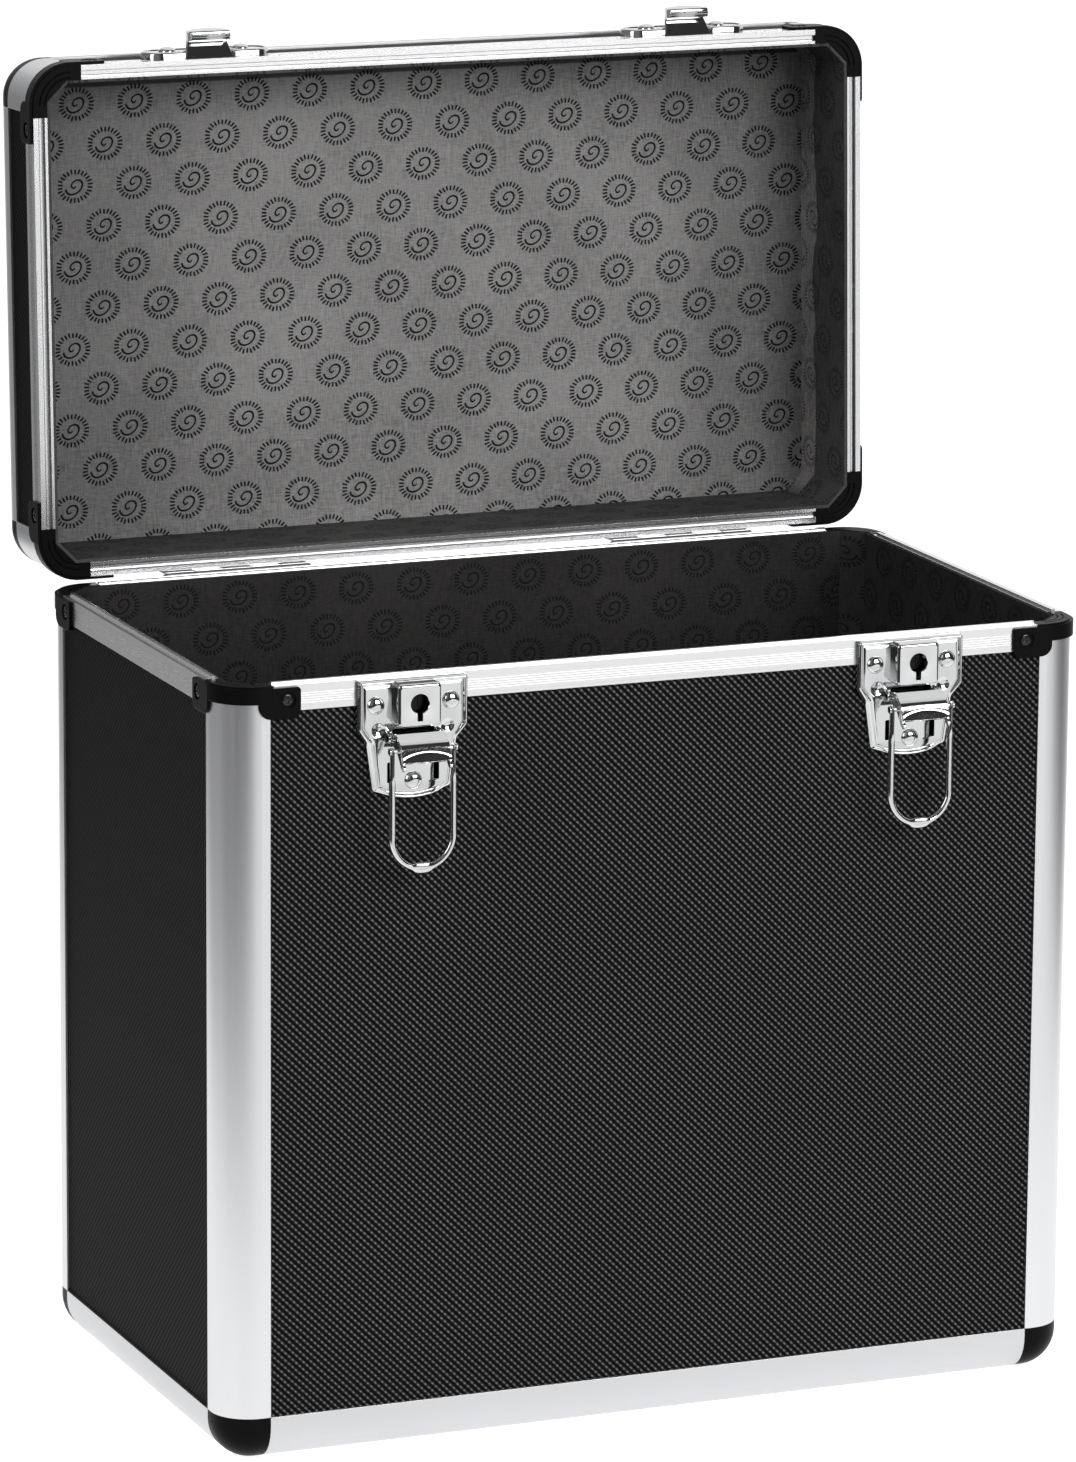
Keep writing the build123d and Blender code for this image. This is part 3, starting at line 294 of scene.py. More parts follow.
upright = satin_aluminium("aluminium_upright", ALONG_Z, SATIN)
lengthways = satin_aluminium("aluminium_lengthways", ALONG_X, SATIN_SHADED)
depthways = satin_aluminium("aluminium_depthways", ALONG_Y, SATIN_SHADED)
lid_foot, lid_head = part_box("lid_rim_rear")[0][2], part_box("lid_rim_front")[1][2]
LID_TOP_REEDS = ((0, 0, 1), (lid_foot + lid_head) / 2, (lid_head - lid_foot) / 2, 2.4, 1.8, 2)
LID_SIDE_REEDS = ((1, 0, 0), 0.0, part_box("lid_rim_right")[1][0], 2.2, 1.6, 2)
rim_long = satin_aluminium("rim_lengthways", ALONG_X, RAIL)
rim_deep = satin_aluminium("rim_depthways", ALONG_Y, RAIL)
rail_long = satin_aluminium("rail_lengthways", ALONG_X, RAIL, LID_TOP_REEDS)
rail_up = satin_aluminium("rail_upright", ALONG_Z, RAIL, LID_SIDE_REEDS)
dress(upright, "body_corner_profiles", "lid_top_profiles_short")
dress(lengthways, "bottom_profiles_long", "lid_top_profiles_long")
dress(depthways, "bottom_profiles_short", "lid_corner_profiles")
dress(rim_long, "body_rim_front", "body_rim_rear")
dress(rim_deep, "body_rim_left", "body_rim_right")
dress(rail_long, "lid_rim_front", "lid_rim_rear")
dress(rail_up, "lid_rim_left", "lid_rim_right")

# %% [markdown]
# The corners are moulded black plastic with the very fine texture that a spark-eroded mould leaves.

# %% Moulded plastic
plastic = Shader("corner_black")
wear = plastic.noise(60.0, 3.0)
grain = plastic.bump(plastic.noise(1800.0), 0.00002, 0.5, plastic.soft_edges(0.0005))
plastic.set(Base_Color=plastic.mix(wear, (0.004, 0.004, 0.0042), (0.006, 0.006, 0.0065)),
            Specular_IOR_Level=0.05, Roughness=wear * 0.1 + 0.31, Normal=grain)
dress(plastic.material, "bottom_ball_corners", "lid_ball_corners", "body_rim_corners", "lid_rim_corners",
      "handle_grip")

# %% [markdown]
# The latches, catches and hinges are pressed steel with bright chrome. Chrome is a mirror, so its look
# comes from what it reflects; only faint ripples of the pressing and a trace of haze are drawn. On the latch
# plates, shade is painted in: below each lock case and a little to both sides of it, around the plate's
# slots, whatever lies close to the board is painted near black. The four limits are ramps in metres.

# %% Chrome
NEAR_BOARD, BESIDE = (0.0014, 0.002), (0.0115, 0.012)
BELOW_CASE, ABOVE_FOOT = (0.0012, 0.0015), (0.023, 0.0235)


def chrome(name, colour=(0.63, 0.635, 0.64), roughness=0.06, bevel=0.0004, ripple=0.00004, pocket_shade=False):
    s = Shader(name)
    waves = s.noise(120.0, 1.0)
    haze = s.noise(500.0, 2.0)
    if pocket_shade:
        (left, _, foot), (right, _, _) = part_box("lock_case_right")
        out = s.along((0, -1, 0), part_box("body_panel_front")[0][1])
        below = s.along((0, 0, -1), foot)
        aside = (s.along((1, 0, 0)).maths("ABSOLUTE") - (left + right) / 2).maths("ABSOLUTE")
        # Painted shade: near the board, under the lock case and a little to its sides, the chrome turns near
        # black.
        shade_mask = (1 - out.over(*NEAR_BOARD)) * below.over(*BELOW_CASE) * (1 - below.over(*ABOVE_FOOT))
        colour = s.mix(shade_mask * (1 - aside.over(*BESIDE)), colour, (0.008, 0.008, 0.008))
    s.set(Base_Color=colour, Metallic=1.0, Roughness=haze * 0.06 + (roughness - 0.03),
          Normal=s.bump(waves, ripple, 1.0, s.soft_edges(bevel)))
    return s.material


bright_chrome = chrome("bright_chrome", bevel=0.0001, ripple=0.00008)
plate_chrome = chrome("plate_chrome", bevel=0.0001, ripple=0.00008, pocket_shade=True)
hinge_chrome = chrome("hinge_chrome")
rivet_chrome = chrome("rivet_chrome", bevel=0.0001)
wire_chrome = chrome("wire_chrome", roughness=0.07, bevel=0.0001)
screw_steel = chrome("screw_steel", (0.045, 0.045, 0.047), 0.22, 0.0002)
# The lock's cam sits deep in the keyhole and is drawn near black: painted shade.
cam_steel = chrome("cam_steel", (0.02, 0.02, 0.02), 0.4, 0.0002)
dress(bright_chrome, "lock_case_left", "lock_case_right", "latch_lever_left", "latch_lever_right",
      "lid_catch_left", "lid_catch_right", "body_rivets", "lid_rivets")
dress(plate_chrome, "latch_plate_left", "latch_plate_right")
dress(hinge_chrome, "hinge_leaves_body", "hinge_leaves_lid", "hinge_pins", "handle_brackets", "handle_pins",
      "lever_pins", "bail_pin_left", "bail_pin_right")
dress(wire_chrome, "latch_bail_left", "latch_bail_right")
dress(screw_steel, "body_rim_screws", "lid_rim_screws")
dress(cam_steel, "lock_cam_left", "lock_cam_right")

# %% [markdown]
# The lining is a grey cloth pressed with small suns: a curl in a ring of short rays. The pattern is a
# formula on the board's own plane. Two slightly skewed directions count rows and columns of suns. The
# fractions of those counts give each point's place about the nearest sun, and its angle and distance
# there decide whether it lies on the curl or on a ray.

# %% Lining cloth
SUN_APART, SUN_SQUEEZE = 24.44, 36.1
RAYS, RING_RADIUS, RAY_HALF = 26.0, 6.35, (0.9, 1.2)
LEFT_DIM, RIGHT_DIM = (-0.2, -0.06), (0.09, 0.135)


def lining(name, rows, columns, colour, ink, depth=1.0, dim=(0.0, 0.0), border=None, fold=None):
    """rows and columns are (direction in suns per metre, offset) on walls that face front or up, followed
    by the same for walls that face left or right. The curl starts on the left at 3.8 mm from the centre and
    winds in once, r = 3.8 - 1.4 t - 1.2 t^4, then ends in a hook, r = 1.2 - 2.4 t, with t in turns.
    dim says how much light the cloth loses towards its left and its right side, where it lies in a corner;
    LEFT_DIM and RIGHT_DIM are the ramps of that loss, in metres along x.
    border is the height above which a band of painted shade runs, where the rail above shades the cloth.
    fold is (outward direction, distance of the corner along it): a strip of the right wall, about 17 mm
    wide beside that corner, where the cloth stands off the board; the light it catches there is painted
    in as a lighter colour."""
    s = Shader(name)
    facing = s.node("ShaderNodeVectorMath", {"operation": "DOT_PRODUCT"},
                    [s.node("ShaderNodeTexCoord", output="Normal"), (1, 0, 0)], output="Value")
    turned = facing.maths("ABSOLUTE").maths("GREATER_THAN", 0.5)
    u, v = (s.along(*flat) * (1 - turned) + s.along(*side) * turned for flat, side in (rows, columns))

    def sun(shift):
        """x and y are millimetres from the nearest sun. Rows lie 32 mm apart but are counted as SUN_SQUEEZE,
        which draws each sun a little flatter than round."""
        x = ((u + (0.5 + shift)).maths("FRACT") - 0.5) * SUN_APART
        y = ((v + (0.5 + shift)).maths("FRACT") - 0.5) * SUN_SQUEEZE
        r = (x * x + y * y) ** 0.5
        a = y.maths("ARCTAN2", x) / math.tau + 0.5
        wobble = (a * (3 * RAYS)).maths("SINE") * 0.2
        ring = 1 - (r - RING_RADIUS + wobble).maths("ABSOLUTE").over(*RAY_HALF)
        ray = (a * RAYS).maths("FRACT") - 0.5
        rays = ring * (1 - (ray.maths("ABSOLUTE") * r).over(1.2, 1.9))
        raised = y + x * 0.28
        reach = (x * x + raised * raised) ** 0.5
        t = 0.5 - raised.maths("ARCTAN2", x) / math.tau
        outer = (reach - 3.8 + t * 1.4 + t * t * t * t * 1.2).maths("ABSOLUTE")
        inner = (reach - 1.2 + t * 2.4).maths("ABSOLUTE")
        return rays.maths("MAXIMUM", 1 - outer.maths("MINIMUM", inner).over(0.27, 0.5))

    stamp = sun(0.0).maths("MAXIMUM", sun(0.5)) * depth
    weave = (s.drawn_noise((300.0, 900.0, 2600.0), 2.0) + s.drawn_noise((2200.0, 900.0, 240.0), 2.0)) * 0.5
    cloud = s.noise(11.0, 2.0)
    shade = (weave - 0.5) * 2.6 + (cloud - 0.5) * 1.7 + 0.5
    across = s.along((1, 0, 0))
    light = 1 - (1 - across.smooth(*LEFT_DIM)) * dim[0] - across.smooth(*RIGHT_DIM) * dim[1]
    # Painted shade: a dark band along the top of the cloth, where the rail shades it.
    if border:
        light = light * (1 - s.along((0, 0, 1)).over(border, border + 0.0006) * 0.75)
    cloth = s.mix(shade, tuple(c * 0.62 for c in colour), tuple(c * 1.38 for c in colour))
    # Painted light: a lighter strip beside the corner, where the cloth stands off the board.
    if fold:
        inward = s.along((0, fold[0][1] * -1000, fold[0][2] * -1000), fold[1] * 1000)
        edge = inward + (s.noise(38.0, 3.0) - 0.5) * 14.0
        strip = (1 - edge.over(16.5, 17.5)) * s.along((1, 0, 0)).over(0.16, 0.165)
        lit_cloth = s.mix(shade, tuple(c * 1.6 for c in colour), tuple(c * 4.6 for c in colour))
        cloth = s.mix(strip, cloth, lit_cloth)
    tinted = s.mix(stamp, cloth, ink)
    s.set(Base_Color=s.mix(light, (0.0, 0.0, 0.0), tinted), Roughness=0.8 - stamp * 0.1,
          Specular_IOR_Level=0.1, Normal=s.bump(weave * 0.2 - stamp, 0.0002, 0.9))
    return s.material


LID_ROWS, LID_COLUMNS = ((40.93, 0, -1.435), 6.541), ((0.32, 0, -31.03), 14.898)
ACROSS, DOWN = ((40.9, 0, 0), 0.0), ((0, 0, -31.0), 0.0)
FRONT_TO_BACK, DEEP = ((0, 40.9, 0), 0.25), ((0, 31.0, 0), 0.0)
GREY, SHADED, BLACK = (0.241, 0.2365, 0.2345), (0.07, 0.068, 0.067), (0.03, 0.0285, 0.028)
LID_INK, WALL_INK, BODY_INK = (0.008, 0.008, 0.009), (0.014, 0.014, 0.014), (0.006, 0.006, 0.006)
dress(lining("lid_cloth", (LID_ROWS, FRONT_TO_BACK), (LID_COLUMNS, DOWN), GREY, LID_INK, dim=(0.4, 0.26),
             border=0.4848), "lid_lining_top")
OUTWARD = SWUNG.to_3x3() @ Vector((0, 0, 1))
CORNER = (OUTWARD, OUTWARD.dot(SWUNG @ Vector((0, 0, LID_TOP - 3 * MM))))
dress(lining("lid_wall_cloth", (ACROSS, FRONT_TO_BACK), (DEEP, DOWN), SHADED, WALL_INK, 0.75, fold=CORNER),
      "lid_lining_walls")
dress(lining("body_cloth", (ACROSS, FRONT_TO_BACK), (DOWN, DOWN), BLACK, BODY_INK, 0.8), "body_lining_walls")
dress(lining("floor_cloth", (ACROSS, FRONT_TO_BACK), (DEEP, DEEP), BLACK, BODY_INK, 0.8), "body_lining_floor")

# %% [markdown]
# The latches, catches, rivets and screws are small, but they are what the eye goes to. Each is made of
# grids of points worked out with numpy. In most of them the rows run from the back of a piece to its front,
# and each row is a closed outline. The outline can shrink from row to row, which rounds an edge, raises a
# bead or sinks a field. Lengths in these cells are millimetres, drawn on a flat face: x along it, y up it
# and z out of it.

# %% Meshes from grids
def corner_points(corners, radii, inset=0.0, steps=5):
    """Closed outline, anticlockwise, all edges moved inwards by the inset and every corner rounded.
    A moved corner lies at corner - inset * (normal + tan(turn / 2) * direction of the edge before it), and
    its arc is centre + radius * (cos, sin) of the angles between the two edges' normals."""
    corners, radii = np.asarray(corners, float), np.asarray(radii, float)
    ahead = np.roll(corners, -1, 0) - corners
    ahead /= np.linalg.norm(ahead, axis=1, keepdims=True)
    before = np.roll(ahead, 1, 0)
    normal = np.column_stack([before[:, 1], -before[:, 0]])
    turn = np.arctan2(before[:, 0] * ahead[:, 1] - before[:, 1] * ahead[:, 0], (before * ahead).sum(1))
    half = np.tan(turn / 2)[:, None]
    corner = corners - inset * (normal + half * before)
    bend = np.where(turn > 0, np.maximum(radii - inset, 0.05), radii + inset)
    bend = (np.where(radii > 0, bend, 0.0) * np.where(turn < 0, -1, 1))[:, None]
    centre = corner - bend * half * before - bend * normal
    angle = np.arctan2(normal[:, 1], normal[:, 0])[:, None] + turn[:, None] * np.linspace(0, 1, steps)
    arc = centre[:, None] + bend[:, None] * np.stack([np.cos(angle), np.sin(angle)], -1)
    return arc.reshape(-1, 2)


class Shell:
    """Grids of points collected into one mesh."""
    def __init__(self):
        self.points, self.faces, self.count = [], [], 0

    def add(self, points, faces):
        self.points.append(np.asarray(points, float).reshape(-1, 3))
        self.faces += [[i + self.count for i in face] for face in faces]
        self.count += len(self.points[-1])

    def grid(self, points, round_u=False, round_v=True, cap_first=False, cap_last=False):
        """Rows u of points v; neighbours make four-sided faces. A cap closes a row onto its middle."""
        rows, columns = points.shape[:2]
        index = np.arange(rows * columns).reshape(rows, columns)
        if round_u:
            index = np.concatenate([index, index[:1]], 0)
        if round_v:
            index = np.concatenate([index, index[:, :1]], 1)
        quads = np.stack([index[:-1, :-1], index[1:, :-1], index[1:, 1:], index[:-1, 1:]], -1)
        faces = quads.reshape(-1, 4).tolist()
        flat = points.reshape(-1, 3)
        for wanted, row in ((cap_first, 0), (cap_last, rows - 1)):
            if wanted:
                middle = len(flat)
                flat = np.concatenate([flat, points[row].mean(0)[None]])
                ring = index[row, :columns]
                faces += [[int(a), int(b), middle] for a, b in zip(ring, np.roll(ring, -1))]
        self.add(flat, faces)
        return self

    def flat(self, outer, holes, height):
        """A level field with holes in it, cut into triangles."""
        loops = [outer, *holes]
        spots = [[Vector((float(x), float(y), 0.0)) for x, y in loop] for loop in loops]
        triangles = tessellate_polygon(spots)
        points = np.concatenate([np.asarray(loop, float)[:, :2] for loop in loops])
        self.add(np.column_stack([points, np.full(len(points), height)]), [list(t) for t in triangles])
        return self

    def put(self, *placings):
        """The finished shell in millimetres, carried to each place in metres."""
        points = np.concatenate(self.points)
        whole = Shell()
        for placing in placings:
            whole.add(placing(points), self.faces)
        return whole

    def join(self, other):
        """Take in all of another shell."""
        self.add(np.concatenate(other.points), other.faces)
        return self


SHARP = math.radians(38.0)


def finish_mesh(name, shell):
    """One mesh: doubles merged, faces turned outwards, smooth but for edges sharper than SHARP."""
    mesh = bpy.data.meshes.new(name)
    mesh.from_pydata(np.concatenate(shell.points).tolist(), [], shell.faces)
    work = bmesh.new()
    work.from_mesh(mesh)
    bmesh.ops.remove_doubles(work, verts=work.verts, dist=0.002 * MM)
    bmesh.ops.recalc_face_normals(work, faces=work.faces)
    work.to_mesh(mesh)
    work.free()
    mesh.shade_smooth()
    mesh.set_sharp_from_angle(angle=SHARP)
    return mesh


def make(name, shell, body, material, stands_for):
    """A finished piece: it rides on a body, takes a finish slot and hides the nodes it stands for."""
    mesh = finish_mesh(name, shell)
    mesh.materials.append(material)
    piece = bpy.data.objects.new(name, mesh)
    bpy.context.scene.collection.objects.link(piece)
    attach(piece, body)
    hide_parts(*stands_for)
    print(name, len(mesh.polygons), "faces")


def level(ring, height):
    """A flat ring lifted to a height."""
    ring = np.asarray(ring, float)
    return np.column_stack([ring, np.broadcast_to(height, len(ring))])


def rings(corners, radii, profile, steps):
    """Rows of a pressed shape: the outline shrunk by each inset and lifted to each height."""
    return np.stack([level(corner_points(corners, radii, inset, steps), height) for inset, height in profile])


def lathe(profile, x, y, sides):
    """A profile of (radius, height) turned about the upright line through (x, y)."""
    angle = np.linspace(0, math.tau, sides, endpoint=False)
    r, z = np.asarray(profile, float).T
    return np.stack([x + r[:, None] * np.cos(angle), y + r[:, None] * np.sin(angle),
                     np.broadcast_to(z[:, None], (len(r), sides))], -1)


def slab(corners, radii, x0, x1, soft):
    """A plate standing edge on: corners are (out, up), and its two edges are rounded by soft."""
    rows = []
    for inset, x in ((soft, x0), (0.0, x0 + soft), (0.0, x1 - soft), (soft, x1)):
        ring = corner_points(corners, radii, inset, 4)
        rows.append(np.column_stack([np.full(len(ring), x), ring[:, 1], ring[:, 0]]))
    return np.stack(rows)


# %% [markdown]
# A face of the case is a place for drawings. These functions take millimetres drawn on a face to metres
# in the model. The lid's faces are placed with the lid shut and then turned open with it.

# %% Faces of the case
LATCH_X = 101.2
LATCHES = (("left", -LATCH_X), ("right", LATCH_X))
TOP_SUNK = 1.1


def swing(points):
    """Turn points, in metres, with the lid: y and z rotate about the hinge line by the opening angle."""
    y, z = points[:, 1] - AXIS.y, points[:, 2] - AXIS.z
    c, s = math.cos(OPEN), math.sin(OPEN)
    return np.column_stack([points[:, 0], AXIS.y + y * c + z * s, AXIS.z - y * s + z * c])


def on_front(shift=0.0):
    return lambda p: np.column_stack([(p[:, 0] + shift) * MM, -HALF_D - p[:, 2] * MM, BODY_H + p[:, 1] * MM])


def on_rear(shift=0.0):
    return lambda p: np.column_stack([(shift - p[:, 0]) * MM, HALF_D + p[:, 2] * MM, BODY_H + p[:, 1] * MM])


def on_side(side):
    """The left (-1) or right (1) face; x on the face runs from front to rear on both."""
    return lambda p: np.column_stack([side * (HALF_W + p[:, 2] * MM), p[:, 0] * MM, BODY_H + p[:, 1] * MM])


def of_lid(placing):
    """The same place on the lid: mirrored in the rim and turned open."""
    def place(p):
        q = placing(p)
        q[:, 2] = BODY_H + LID_BASE - q[:, 2]
        return swing(q)
    return place


def on_lid_front(shift=0.0):
    return lambda p: swing(on_front(shift)(p) + np.array([0, 0, LID_BASE - BODY_H]))


def on_lid_rear(shift=0.0):
    return lambda p: swing(on_rear(shift)(p) + np.array([0, 0, LID_BASE - BODY_H]))


def on_lid_top(shift=0.0):
    """The lid's top board, which lies a little below the edges of the profiles round it."""
    return lambda p: swing(np.column_stack([(p[:, 0] + shift) * MM, p[:, 1] * MM,
                                            LID_TOP + (p[:, 2] - TOP_SUNK) * MM]))


# %% [markdown]
# ## Latch plates
# Each plate is pressed from one sheet: the edge is folded back to the board, a bead runs round inside it,
# and the field between is sunk a little. Below the shoulders the bead flattens into a fluted slope: the
# height of each point is a mix of two profiles, rim and flutes, by how low and how far out it lies. Two
# slots take the ends of the lever's cheeks when it is pressed down, a wide one lies under the lever, and two
# dimples stiffen the wings. The flat field is cut as a polygon with holes, and the rest is grown from the
# outlines. The foot is an arc of large radius.

# %% Latch plates
FOOT_R, FOOT_Y = 34.7, -46.2
foot = [(FOOT_R * math.sin(a), FOOT_Y + FOOT_R * (1 - math.cos(a))) for a in np.linspace(-0.40, 0.40, 9)]
PLATE = [(21.8, -0.5), (-21.8, -0.5), (-21.8, -19.3), (-18.1, -24.5), (-15.6, -42.5), *foot,
         (15.6, -42.5), (18.1, -24.5), (21.8, -19.3)]
PLATE_ROUND = [1.4, 1.4, 3.5, 4.0, 1.8, *[0.0] * len(foot), 1.8, 4.0, 3.5]
INSETS = [0.0, 0.0, 0.2, 0.55, 0.8, 1.05, 1.3, 1.75, 1.95, 2.3, 2.7, 3.2]
RIM = np.array([-1.1, 1.2, 2.05, 2.8, 2.97, 3.0, 2.85, 1.95, 1.8, 1.8, 2.3, 2.4])
FLUTES = np.array([-1.1, 0.1, 0.6, 0.75, 0.8, 0.85, 1.1, 1.75, 1.85, 1.9, 2.35, 2.4])
FIELD = 2.4


def slot_ring(x):
    half, top, low = 1.1, -31.8, -39.6
    return corner_points([(x + half, top), (x - half, top), (x - half, low), (x + half, low)], [0.5] * 4)


def latch_plate():
    """A row's height is RIM * (1 - low) + FLUTES * low, where low goes from 0 to 1 below the shoulders and
    towards the sides."""
    shell = Shell()
    rows = rings(PLATE, PLATE_ROUND, [(inset, 0.0) for inset in INSETS], 6)
    low = np.clip((-21.0 - rows[..., 1]) / 5.0, 0, 1) * np.clip((np.abs(rows[..., 0]) - 9.0) / 4.0, 0, 1)
    rows[..., 2] = RIM[:, None] * (1 - low) + FLUTES[:, None] * low
    shell.grid(rows, cap_first=True)
    slots = [slot_ring(x) for x in (-9.2, 9.2)]
    slots.append(corner_points([(8.4, -19.2), (-8.4, -19.2), (-8.4, -23.0), (8.4, -23.0)], [0.4] * 4))
    dimples = []
    for x in (-13.7, 13.7):
        dish = lathe([(2.9, FIELD), (2.5, FIELD - 0.06), (2.0, FIELD - 0.35), (1.4, FIELD - 0.62),
                      (0.7, FIELD - 0.78)], x, -19.3, 24)
        shell.grid(dish, cap_last=True)
        dimples.append(dish[0, :, :2])
    shell.flat(rows[-1, :, :2], [*slots, *dimples], FIELD)
    for ring in slots:
        shell.grid(np.stack([level(ring, FIELD), level(ring, -0.8)]), cap_last=True)
    for side in (-1, 1):
        x0, x1 = sorted((side * 10.1, side * 11.1))
        lug = [(FIELD - 0.4, -24.4), (5.2, -23.8), (6.4, -22.6), (6.4, -21.4), (5.2, -20.2),
               (FIELD - 0.4, -19.6)]
        shell.grid(slab(lug, [0, 1.2, 0.8, 0.8, 1.2, 0], x0, x1, 0.15), cap_first=True, cap_last=True)
    return shell


for side, shift in LATCHES:
    make("plate_" + side, latch_plate().put(on_front(shift)), "case_body", plate_chrome,
         ["latch_plate_" + side])

# %% [markdown]
# ## Lock cases
# The lock's cover is a drawn box with a keyhole. Its rows start at the back, climb the wall, round the
# front edge, run in over the face to the keyhole, go through it and come back down the inside, so the
# grid closes on itself. The keyhole is a circle joined to a slot: at each angle, whichever reaches further.

# %% Lock cases
LOCK = [(8.6, -1.2), (-8.6, -1.2), (-8.6, -17.3), (8.6, -17.3)]
LOCK_MIDDLE = np.array([0.0, -9.25])
LOCK_PROFILE = ((0, 2.2), (0, 8.2), (0.09, 8.7), (0.33, 9.08), (0.7, 9.38), (1.1, 9.5), (1.6, 9.5))
KEY = np.array([0.0, -8.9])
KEY_R, SLOT_HALF, SLOT_END = 3.6, 1.0, 6.5


def keyhole(ring, grow):
    """The point of the keyhole's edge that lies in each outline point's direction."""
    away = ring - KEY
    angle = np.arctan2(away[:, 1], away[:, 0])
    c, s = np.abs(np.cos(angle)), np.abs(np.sin(angle))
    slot = np.minimum(SLOT_HALF / np.maximum(c, 1e-6), SLOT_END / np.maximum(s, 1e-6))
    radius = np.where(np.sin(angle) < 0, np.maximum(KEY_R, slot), KEY_R) + grow
    return KEY + radius[:, None] * np.column_stack([np.cos(angle), np.sin(angle)])


def dense(ring, gap=0.35):
    """The same outline with points no further apart than the gap."""
    closed = np.concatenate([ring, ring[:1]])
    along = np.concatenate([[0], np.cumsum(np.linalg.norm(np.diff(closed, axis=0), axis=1))])
    even = np.linspace(0, along[-1], int(along[-1] / gap), endpoint=False)
    return np.column_stack([np.interp(even, along, closed[:, 0]), np.interp(even, along, closed[:, 1])])


def lock_case():
    """A row is middle + away * (1 - inset / half size), with away the outline seen from the middle. The
    lower edge is crisper: points below the middle move up by only 0.3 of an inset."""
    outline = dense(corner_points(LOCK, [1.2] * 4, 0, 8))
    away = outline - LOCK_MIDDLE
    size = np.abs(away).max(0)
    crisp = np.where(away[:, 1:] < 0, [[1.0, 0.3]], [[1.0, 1.0]])
    rows = []
    for inset, height in LOCK_PROFILE:
        rows.append(level(LOCK_MIDDLE + away * (1 - inset * crisp / size), height))
    for grow, height in ((0.5, 9.5), (0.18, 9.47), (0.0, 9.3), (0.0, 8.5)):
        rows.append(level(keyhole(outline, grow), height))
    inside = LOCK_MIDDLE + away * (1 - 1.0 / size)
    rows += [level(inside, 8.5), level(inside, 2.2)]
    return Shell().grid(np.stack(rows), round_u=True)


for side, shift in LATCHES:
    make("lock_cover_" + side, lock_case().put(on_front(shift)), "case_body", bright_chrome,
         ["lock_case_" + side])

# %% [markdown]
# ## Levers
# The lever is one bent sheet: a roof over the pivot that curls down into a finger lip, with a cheek at
# each end that carries the bail's pin. The roof is a thin strip carried along x.

# %% Levers
def strip(line, thick, x):
    """A thin closed outline at x, on both sides of a line of (out, up): each point steps along the normal."""
    ahead = np.gradient(line, axis=0)
    ahead /= np.linalg.norm(ahead, axis=1, keepdims=True)
    normal = np.column_stack([ahead[:, 1], -ahead[:, 0]]) * thick / 2
    both = np.concatenate([line + normal, (line - normal)[::-1]])
    return np.column_stack([np.full(len(both), x), both[:, 1], both[:, 0]])


def smooth_line(points, count):
    """A curve through a few points: each coordinate is a cubic in the distance along them."""
    points = np.asarray(points, float)
    along = np.concatenate([[0], np.cumsum(np.linalg.norm(np.diff(points, axis=0), axis=1))])
    even = np.linspace(0, along[-1], count)
    slope = np.gradient(points, along, axis=0)
    span = np.clip(np.searchsorted(along, even, "right") - 1, 0, len(along) - 2)
    width = (along[span + 1] - along[span])[:, None]
    t = ((even - along[span])[:, None]) / width
    p0, p1, m0, m1 = points[span], points[span + 1], slope[span] * width, slope[span + 1] * width
    return (p0 * (1 + 2 * t) * (1 - t) ** 2 + m0 * t * (1 - t) ** 2
            + p1 * t * t * (3 - 2 * t) + m1 * t * t * (t - 1))


ROOF = [(9.6, -20.1), (10.5, -20.79), (11.9, -21.86), (13.3, -22.93), (13.95, -23.5)]
BEND = np.array([14.35, -24.15])
SHEET = 1.1
CHEEK = [(4.4, -23.4), (11.4, -26.9), (13.1, -28.8), (14.9, -31.2), (16.9, -32.6), (18.2, -31.0),
         (17.3, -30.1), (16.4, -28.8), (15.4, -26.7), (14.3, -24.2), (13.5, -23.1), (9.4, -20.0),
         (4.6, -20.2), (3.8, -21.4)]
CHEEK_ROUND = [1.2, 1.5, 2.0, 2.0, 0.7, 0.7, 0.5, 1.0, 2.0, 1.0, 1.0, 0.8, 0.5, 1.0]


def latch_lever():
    """The strip's line changes along x: after the roof and its bend comes a brow, and the crease below it
    follows 1 - (x / half)^2, high in the middle. The lip beyond the crease reaches further out and down
    there, so it opens into a scoop for a finger. The strip's two ends are thinned, which rounds them."""
    shell, half, sides = Shell(), 9.8, []
    middle_spots = np.linspace(-half + 0.5, half - 0.5, 19)
    for x in (-half, -half + 0.2, *middle_spots, half - 0.2, half):
        arch = 1 - (x / half) ** 2
        crease = -28.2 + 2.3 * arch
        brow = np.array([BEND[0] + 0.52 * (BEND[1] - crease), crease])
        lip = [(16.86 - 0.27 * arch, -28.95 + 0.75 * arch), (17.06 + 0.2 * arch, -29.2 - 0.2 * arch)]
        line = smooth_line([*ROOF, BEND, BEND + 0.33 * (brow - BEND), BEND + 0.67 * (brow - BEND),
                            brow, brow + (0.06, -0.2), brow + (0.24, -0.45), *lip], 72)
        thin = 0.35 if abs(x) == half else 1.0
        sides.append(strip(line, SHEET * thin, x))
    shell.grid(np.stack(sides))
    for row in (sides[0], sides[-1]):
        count = len(row) // 2
        shell.grid(np.stack([row[:count], row[count:][::-1]]), round_v=False)
    for side in (-1, 1):
        x0, x1 = sorted((side * 8.7, side * half))
        rows = slab(CHEEK, CHEEK_ROUND, x0, x1, 0.2)
        shell.grid(rows)
        for row in (rows[0], rows[-1]):
            face = Shell().flat(row[:, 1:], [], 0.0)
            points = np.concatenate(face.points)
            shell.add(np.column_stack([np.full(len(points), row[0, 0]), points[:, :2]]), face.faces)
    return shell


for side, shift in LATCHES:
    make("lever_" + side, latch_lever().put(on_front(shift)), "lever_" + side, bright_chrome,
         ["latch_lever_" + side])

